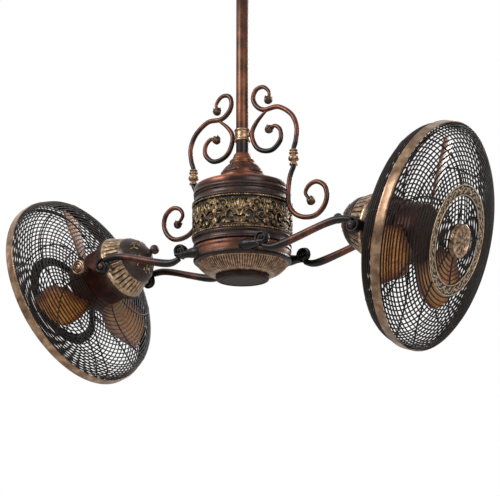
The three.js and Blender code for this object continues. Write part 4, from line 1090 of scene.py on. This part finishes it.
SPOKE_SWEEP = 34


def along(line, spacing):
    """Places on a (radius, height) line, each spacing(radius) millimetres on from the one before."""
    fine = flowing(line, 12)
    out = [fine[0]]
    left = spacing(fine[0][0])
    for a, b in zip(fine, fine[1:]):
        left -= math.dist(a, b)
        if left <= 0:
            out.append(b)
            left = spacing(b[0])
    return out


def grille(name, line, hand, wall_radius):
    """Wire rings on a dome line, close outside the wall radius, with radial wires that sweep by hand
    to one side or the other."""
    wires = []
    for radius, height in along(line, lambda at: WALL_GAP if at > wall_radius else FACE_GAP):
        deselect()
        bpy.ops.mesh.primitive_torus_add(major_segments=112 if radius > 90 else 72, minor_segments=6,
                                         major_radius=radius * MM, minor_radius=WIRE_R * MM,
                                         location=(0, 0, height * MM))
        wires.append(bpy.context.object)
    fine = flowing(line, 3)
    for k in range(SPOKE_COUNT):
        points = []
        for radius, height in fine:
            share = (fine[0][0] - radius) / (fine[0][0] - fine[-1][0])
            angle = 2 * math.pi * k / SPOKE_COUNT + hand * math.radians(SPOKE_SWEEP) * math.sin(share * 1.7)
            points.append((radius * math.cos(angle), radius * math.sin(angle), height - SPOKE_DROP))
        wires.append(bent_bar("spoke", points, [SPOKE_R] * len(points), 8, 1))
    cage = joined(wires, name)
    bpy.ops.object.transform_apply(location=True, rotation=True, scale=True)
    bpy.ops.object.shade_smooth()
    return cage


# dip-coated wire: black-brown, with only a faint gloss
wire_lacquer = rubbed_lacquer("black-brown lacquer on steel wire", "#080605", "#120c0a", "#24170f", 0, 0.45,
                              12)
wire_lacquer.node_tree.nodes["Principled BSDF"].inputs["Specular IOR Level"].default_value = 0.2
for model, node in ((grille("rear_wire_grille", REAR_LINE, 1, REAR_WALL_R), "rear_grille"),
                    (grille("front_wire_grille", FRONT_LINE, -1, FRONT_WALL_R), "front_grille")):
    set_on_heads(model, "head", "wire", wire_lacquer, node)


# ------------------------------------------------------------------ head: medallion ring and badge
# A flat cast ring on the front grille has gilt scrolls in relief between two gilt borders. In its
# middle sits a domed bronze badge with a plain rosette inside a raised rim.
MEDAL_IN = 84
MEDAL_OUT = 105
MEDAL_SEAT = 176.3
MEDAL_FACE = 177.4
MEDAL_TOP = 178.5  # the relief stands no higher
MEDAL_EDGE = 1.15  # half the thickness of the round borders
MEDAL_MID = (MEDAL_IN + MEDAL_OUT) / 2
MEDAL_REPEATS = 14
MEDAL_SWING = 2 * math.pi * MEDAL_MID / MEDAL_REPEATS  # width of one repeat along the ring
BADGE = [(0.01, 176.9), (31.4, 176.9), (32, 178), (32, 185.6), (31.4, 187.6), (29.6, 188.7), (27.8, 188.5),
         (26.6, 187), (25.6, 184.6), (24.6, 184.4), (23.6, 185.8), (20, 186.9), (14, 187.6), (7, 188),
         (0.01, 188.1)]
PETALS = 8
PETAL_DEPTH = 2.1
ROSETTE_R = 24
ROSETTE_LOW = 185.5  # the rosette's face lies above this height
BUTTON_R = 5
BUTTON_RISE = 0.3
GROOVE_R = 6  # a groove runs round the button
GROOVE_WIDTH = 1.1
GROOVE_DEPTH = 1.1


def round_ring(k, u, depth, h):
    """Bends the relief's repeat k round the medallion and lays it on the face."""
    angle = (u + k * MEDAL_SWING) / MEDAL_MID
    radius = (MEDAL_IN + 1 + h * 0.95) * MM
    return radius * math.sin(angle), radius * math.cos(angle), min(177.3 - depth * 0.55, MEDAL_TOP) * MM


def rosette(angle, radius, height):
    """Petals round a button, cut into the badge's face."""
    if height < ROSETTE_LOW or radius > ROSETTE_R:
        return 0
    if radius < BUTTON_R:
        return BUTTON_RISE
    groove = GROOVE_DEPTH * math.exp(-((radius - GROOVE_R) / GROOVE_WIDTH) ** 2)
    valley = 1 - abs(math.cos(PETALS / 2 * angle)) ** 0.5
    fade = math.sin(math.pi * min(1, (radius - 3) / 22)) ** 0.5  # shallow at the button and the rim
    return -groove - PETAL_DEPTH * valley * fade


# the plate takes the same flat black: painted shadow under the gilt scrolls
plate = turned("medallion_plate", [(MEDAL_IN, MEDAL_SEAT), (MEDAL_OUT, MEDAL_SEAT), (MEDAL_OUT, MEDAL_FACE),
                                   (MEDAL_IN, MEDAL_FACE)], 160, closed=True)
soften(plate)
set_on_heads(plate, "head", "aged_bronze", shadow_black, "medallion")

relief = [tendril([(-MEDAL_SWING / 2, 4), (-12, 6), (-4, 13), (5, 15), (9, 10), (5, 6), (1, 9)], 3.0),
          tendril([(9, 13), (15, 15), (MEDAL_SWING / 2, 16)], 2.8),
          leaf(-13, 6, 9, 4.6, -20, 1.6), leaf(-9, 9, 7, 4, 50, 1.6), leaf(-16, 8, 8, 4, -60, 1.6),
          leaf(12, 14, 9, 4.4, 165, 1.6), leaf(16, 15, 9, 4.2, 130, 1.6), leaf(4, 7, 4, 4, 0, 1.6),
          leaf(-3, 5, 8, 4, 95, 1.6), leaf(-14, 15, 8, 4, 80, 1.6)]
parts = wrapped(joined(relief, "medal_scroll"), MEDAL_REPEATS, round_ring)
for radius in (MEDAL_IN + 1.2, MEDAL_OUT - 1.2):
    deselect()
    bpy.ops.mesh.primitive_torus_add(major_segments=160, minor_segments=8, major_radius=radius * MM,
                                     minor_radius=MEDAL_EDGE * MM, location=(0, 0, MEDAL_FACE * MM))
    bpy.ops.object.transform_apply(location=True)
    parts.append(bpy.context.object)
gilt_ring = joined(parts, "medallion_relief")
bpy.ops.object.shade_smooth_by_angle(angle=math.radians(RELIEF_CREASE))
# pale old gold with brown in small cloudy patches
medal_gold = rubbed_lacquer("antique gold on cast ring", "#3a2c20", "#a3886a", "#e0c9aa", 0.75, 0.34, 5)
set_on_heads(gilt_ring, "head", "aged_bronze", medal_gold)

# the brightest bronze on the fan, rubbed on the petals, with painted shade between them
badge_bronze = rubbed_lacquer("polished bronze", "#2b1d14", "#8c6f57", "#d6bb9e", 0.78, 0.28, 6, carved=0.42)
badge = turned("rosette_badge", [*BADGE[:4], *flowing(BADGE[4:], 5)], 160)
carve(badge, rosette, 2, upward=True)
soften(badge)
set_on_heads(badge, "head", "bronze_casting", badge_bronze, "badge")


# ------------------------------------------------------------------ head: lock knob
# A turned bronze knob on a dark shank stands out of the motor body. Its face has rings turned in it.
KNOB_SHANK = [(0.01, 49.6), (5, 49.6), (5, 61.8), (7, 61.9), (7, 74), (7.8, 75), (7.8, 78), (7, 79),
              (7, 91.4), (0.01, 91.4)]
KNOB_FACE = [(0.01, 91.6), (13.4, 91.6), (15.4, 92.4), (16, 93.6), (16, 97), (15.4, 98.6), (14, 99.6),
             (12.8, 99.4), (12, 97.6), (11, 97.4), (10.2, 99), (8.6, 99.2), (7.8, 97.6), (6.8, 97.6),
             (5.8, 99.1), (3, 99.7), (0.01, 99.8)]
KNOB_AT = 50  # along the head's axis
KNOB_GROOVES = ((6.2, 8.2), (10.4, 12.7))  # radii
KNOB_FACE_LOW = 97
# the grooves are marked, not cut, so that the bronze paints shade in them
SHADE_MARK_DEPTH = 0.001  # a depth too small to see, for a hollow that is marked and not cut


def knob_grooves(angle, radius, height):
    """Leaves the shape alone and marks the two grooves turned in the face for painted shade."""
    in_groove = any(low < radius < high for low, high in KNOB_GROOVES)
    return -SHADE_MARK_DEPTH if height > KNOB_FACE_LOW and in_groove else 0


knob_place = Matrix.Translation((0, 0, KNOB_AT * MM)) @ Matrix.Rotation(math.pi / 2, 4, "X")
shank = turned("knob_shank", KNOB_SHANK, 40)
soften(shank)
settle(shank, knob_place)
knob = turned("lock_knob_face", flowing(KNOB_FACE, 2), 64)
carve(knob, knob_grooves, SHADE_MARK_DEPTH, upward=True)
soften(knob)
settle(knob, knob_place)
set_on_heads(shank, "knob", "aged_bronze", dark_lacquer)
set_on_heads(knob, "knob", "aged_bronze", bronze, "lock_knob")


# ------------------------------------------------------------------ rotor
# A dark cup on the motor shaft carries three curved wooden blades, varnished amber, with painted shade
# towards the hub and the edges. Their middle face is given from root to tip and across.
HUB = [(0.01, 109.5), (38, 109.5), (50, 111), (54, 111.2), (56.6, 109.6), (57.9, 106.6), (58, 104),
       (58, 68.6), (55, 68.6), (55, 103.5), (5, 103.5), (5, 32.3), (0.01, 32.3)]
TIP_R = 188
ROOT_R = 59.6
ROOT_LEAST = 10
ROOT_HALF = 33.5
LEAD = 59.5  # width of the leading half, at its widest
TRAIL = 37
TRAIL_TIP = 26
LEAD_CUT = 13  # the end's leading corner is cut back by this much
TRAIL_CUT = 10
WIDEST = 0.52  # share of the length at which the blade reaches its full width
ROOT_PITCH = 30
TWIST = 12
CAMBER = 5
CAMBER_DROP = 3.3
BLADES = 3
BLADE_AT = 103
REST_TURN = -6
BLADE_THICK = 3.0

hub = turned("rotor_cup", HUB, 120)
soften(hub)
set_on_heads(hub, "rotor", "dark_casting", motor_brown, "rotor_hub")


def blade_point(s, c):
    """A place on the blade's middle face: s runs from root to tip and c from trailing to leading edge."""
    pitch = math.radians(ROOT_PITCH - TWIST * s)
    t = min(1, s / WIDEST)
    half = ROOT_HALF + ((LEAD if c > 0 else TRAIL) - ROOT_HALF) * t * t * (3 - 2 * t)
    if c < 0:
        half -= (TRAIL - TRAIL_TIP) * (max(0, s - WIDEST) / (1 - WIDEST)) ** 2
    chord = c * half
    lift = CAMBER * (1 - c * c) - CAMBER_DROP
    y = chord * math.cos(pitch) - lift * math.sin(pitch)
    root = math.sqrt(max(ROOT_R ** 2 - y ** 2, ROOT_LEAST ** 2))
    tip = TIP_R - (LEAD_CUT * c ** 2.2 if c > 0 else TRAIL_CUT * c * c)
    return root + (tip - root) * s, y, chord * math.sin(pitch) + lift * math.cos(pitch)


def wood():
    """Varnished hardwood veneer: grain lines 1 to 2 mm apart along the blade, amber in the middle and
    darkened by painted shade at the edges and the root, under a clear coat."""
    material = bpy.data.materials.new("amber varnished wood")
    material.use_nodes = True
    tree = material.node_tree
    shader = tree.nodes["Principled BSDF"]
    sheet_uv = add_node(tree, "ShaderNodeUVMap").outputs["UV"]
    stretch = add_node(tree, "ShaderNodeMapping", {"Vector": sheet_uv, "Scale": (1.3, 26.0, 1.0)})
    grain = add_node(tree, "ShaderNodeTexNoise", {"Vector": stretch.outputs["Vector"], "Scale": 2.2,
                                                  "Detail": 6.0, "Roughness": 0.6, "Distortion": 0.4})
    edge = add_node(tree, "ShaderNodeSeparateXYZ", {"Vector": sheet_uv})
    across = add_node(tree, "ShaderNodeMath", {0: edge.outputs["Y"], 1: 0.5}, operation="SUBTRACT")
    rim = add_node(tree, "ShaderNodeMath", {0: across.outputs[0]}, operation="ABSOLUTE")
    # painted shade along the blade's edges and towards its root
    edge_shade = add_node(tree, "ShaderNodeMapRange", {
        "Value": rim.outputs[0], "From Min": 0.3, "From Max": 0.5, "To Min": 0.0, "To Max": 0.3},
        interpolation_type="SMOOTHSTEP")
    root_shade = add_node(tree, "ShaderNodeMapRange", {
        "Value": edge.outputs["X"], "From Min": 0.02, "From Max": 0.3, "To Min": 0.28, "To Max": 0.0},
        interpolation_type="SMOOTHSTEP")
    dark = add_node(tree, "ShaderNodeMath", {0: edge_shade.outputs["Result"], 1: root_shade.outputs["Result"]},
                    operation="ADD")
    tone = add_node(tree, "ShaderNodeMath", {0: grain.outputs["Fac"], 1: dark.outputs[0]},
                    operation="SUBTRACT")
    ramp = add_node(tree, "ShaderNodeValToRGB", {"Fac": tone.outputs[0]})
    ramp.color_ramp.elements[0].position = 0.1
    ramp.color_ramp.elements[0].color = srgb("#4d2009")
    ramp.color_ramp.elements[1].position = 0.68
    ramp.color_ramp.elements[1].color = srgb("#e6a755")
    ramp.color_ramp.elements.new(0.4).color = srgb("#a0581f")
    shader.inputs["Roughness"].default_value = 0.38
    shader.inputs["Coat Weight"].default_value = 0.5
    shader.inputs["Coat Roughness"].default_value = 0.15
    tree.links.new(ramp.outputs["Color"], shader.inputs["Base Color"])
    return material


veneer = wood()
for number in range(BLADES):
    deselect()
    bpy.ops.mesh.primitive_grid_add(x_subdivisions=26, y_subdivisions=20, size=1)
    blade = bpy.context.object
    blade.name = f"wooden_blade_{number + 1}"
    for vertex in blade.data.vertices:
        s, c = vertex.co.x + 0.5, 2 * vertex.co.y
        x, y, z = blade_point(s, c)
        vertex.co = (x * MM, y * MM, z * MM)
    thick = blade.modifiers.new("thickness", "SOLIDIFY")
    thick.thickness = BLADE_THICK * MM
    thick.offset = 0
    bpy.ops.object.modifier_apply(modifier=thick.name)
    soften(blade, 0.9, 2, 50)
    settle(blade, Matrix.Rotation(math.radians(REST_TURN + 360 / BLADES * number), 4, "Z")
           @ Matrix.Translation((0, 0, BLADE_AT * MM)))
    for side, place in HEADS.items():
        piece = duplicate(blade)
        settle(piece, place)
        piece.name = f"{blade.name}_{side}"
        finish_piece(piece, f"rotor_{side}", "blade_wood", veneer, f"blade_{side}_{number + 1}")
    bpy.data.objects.remove(blade)
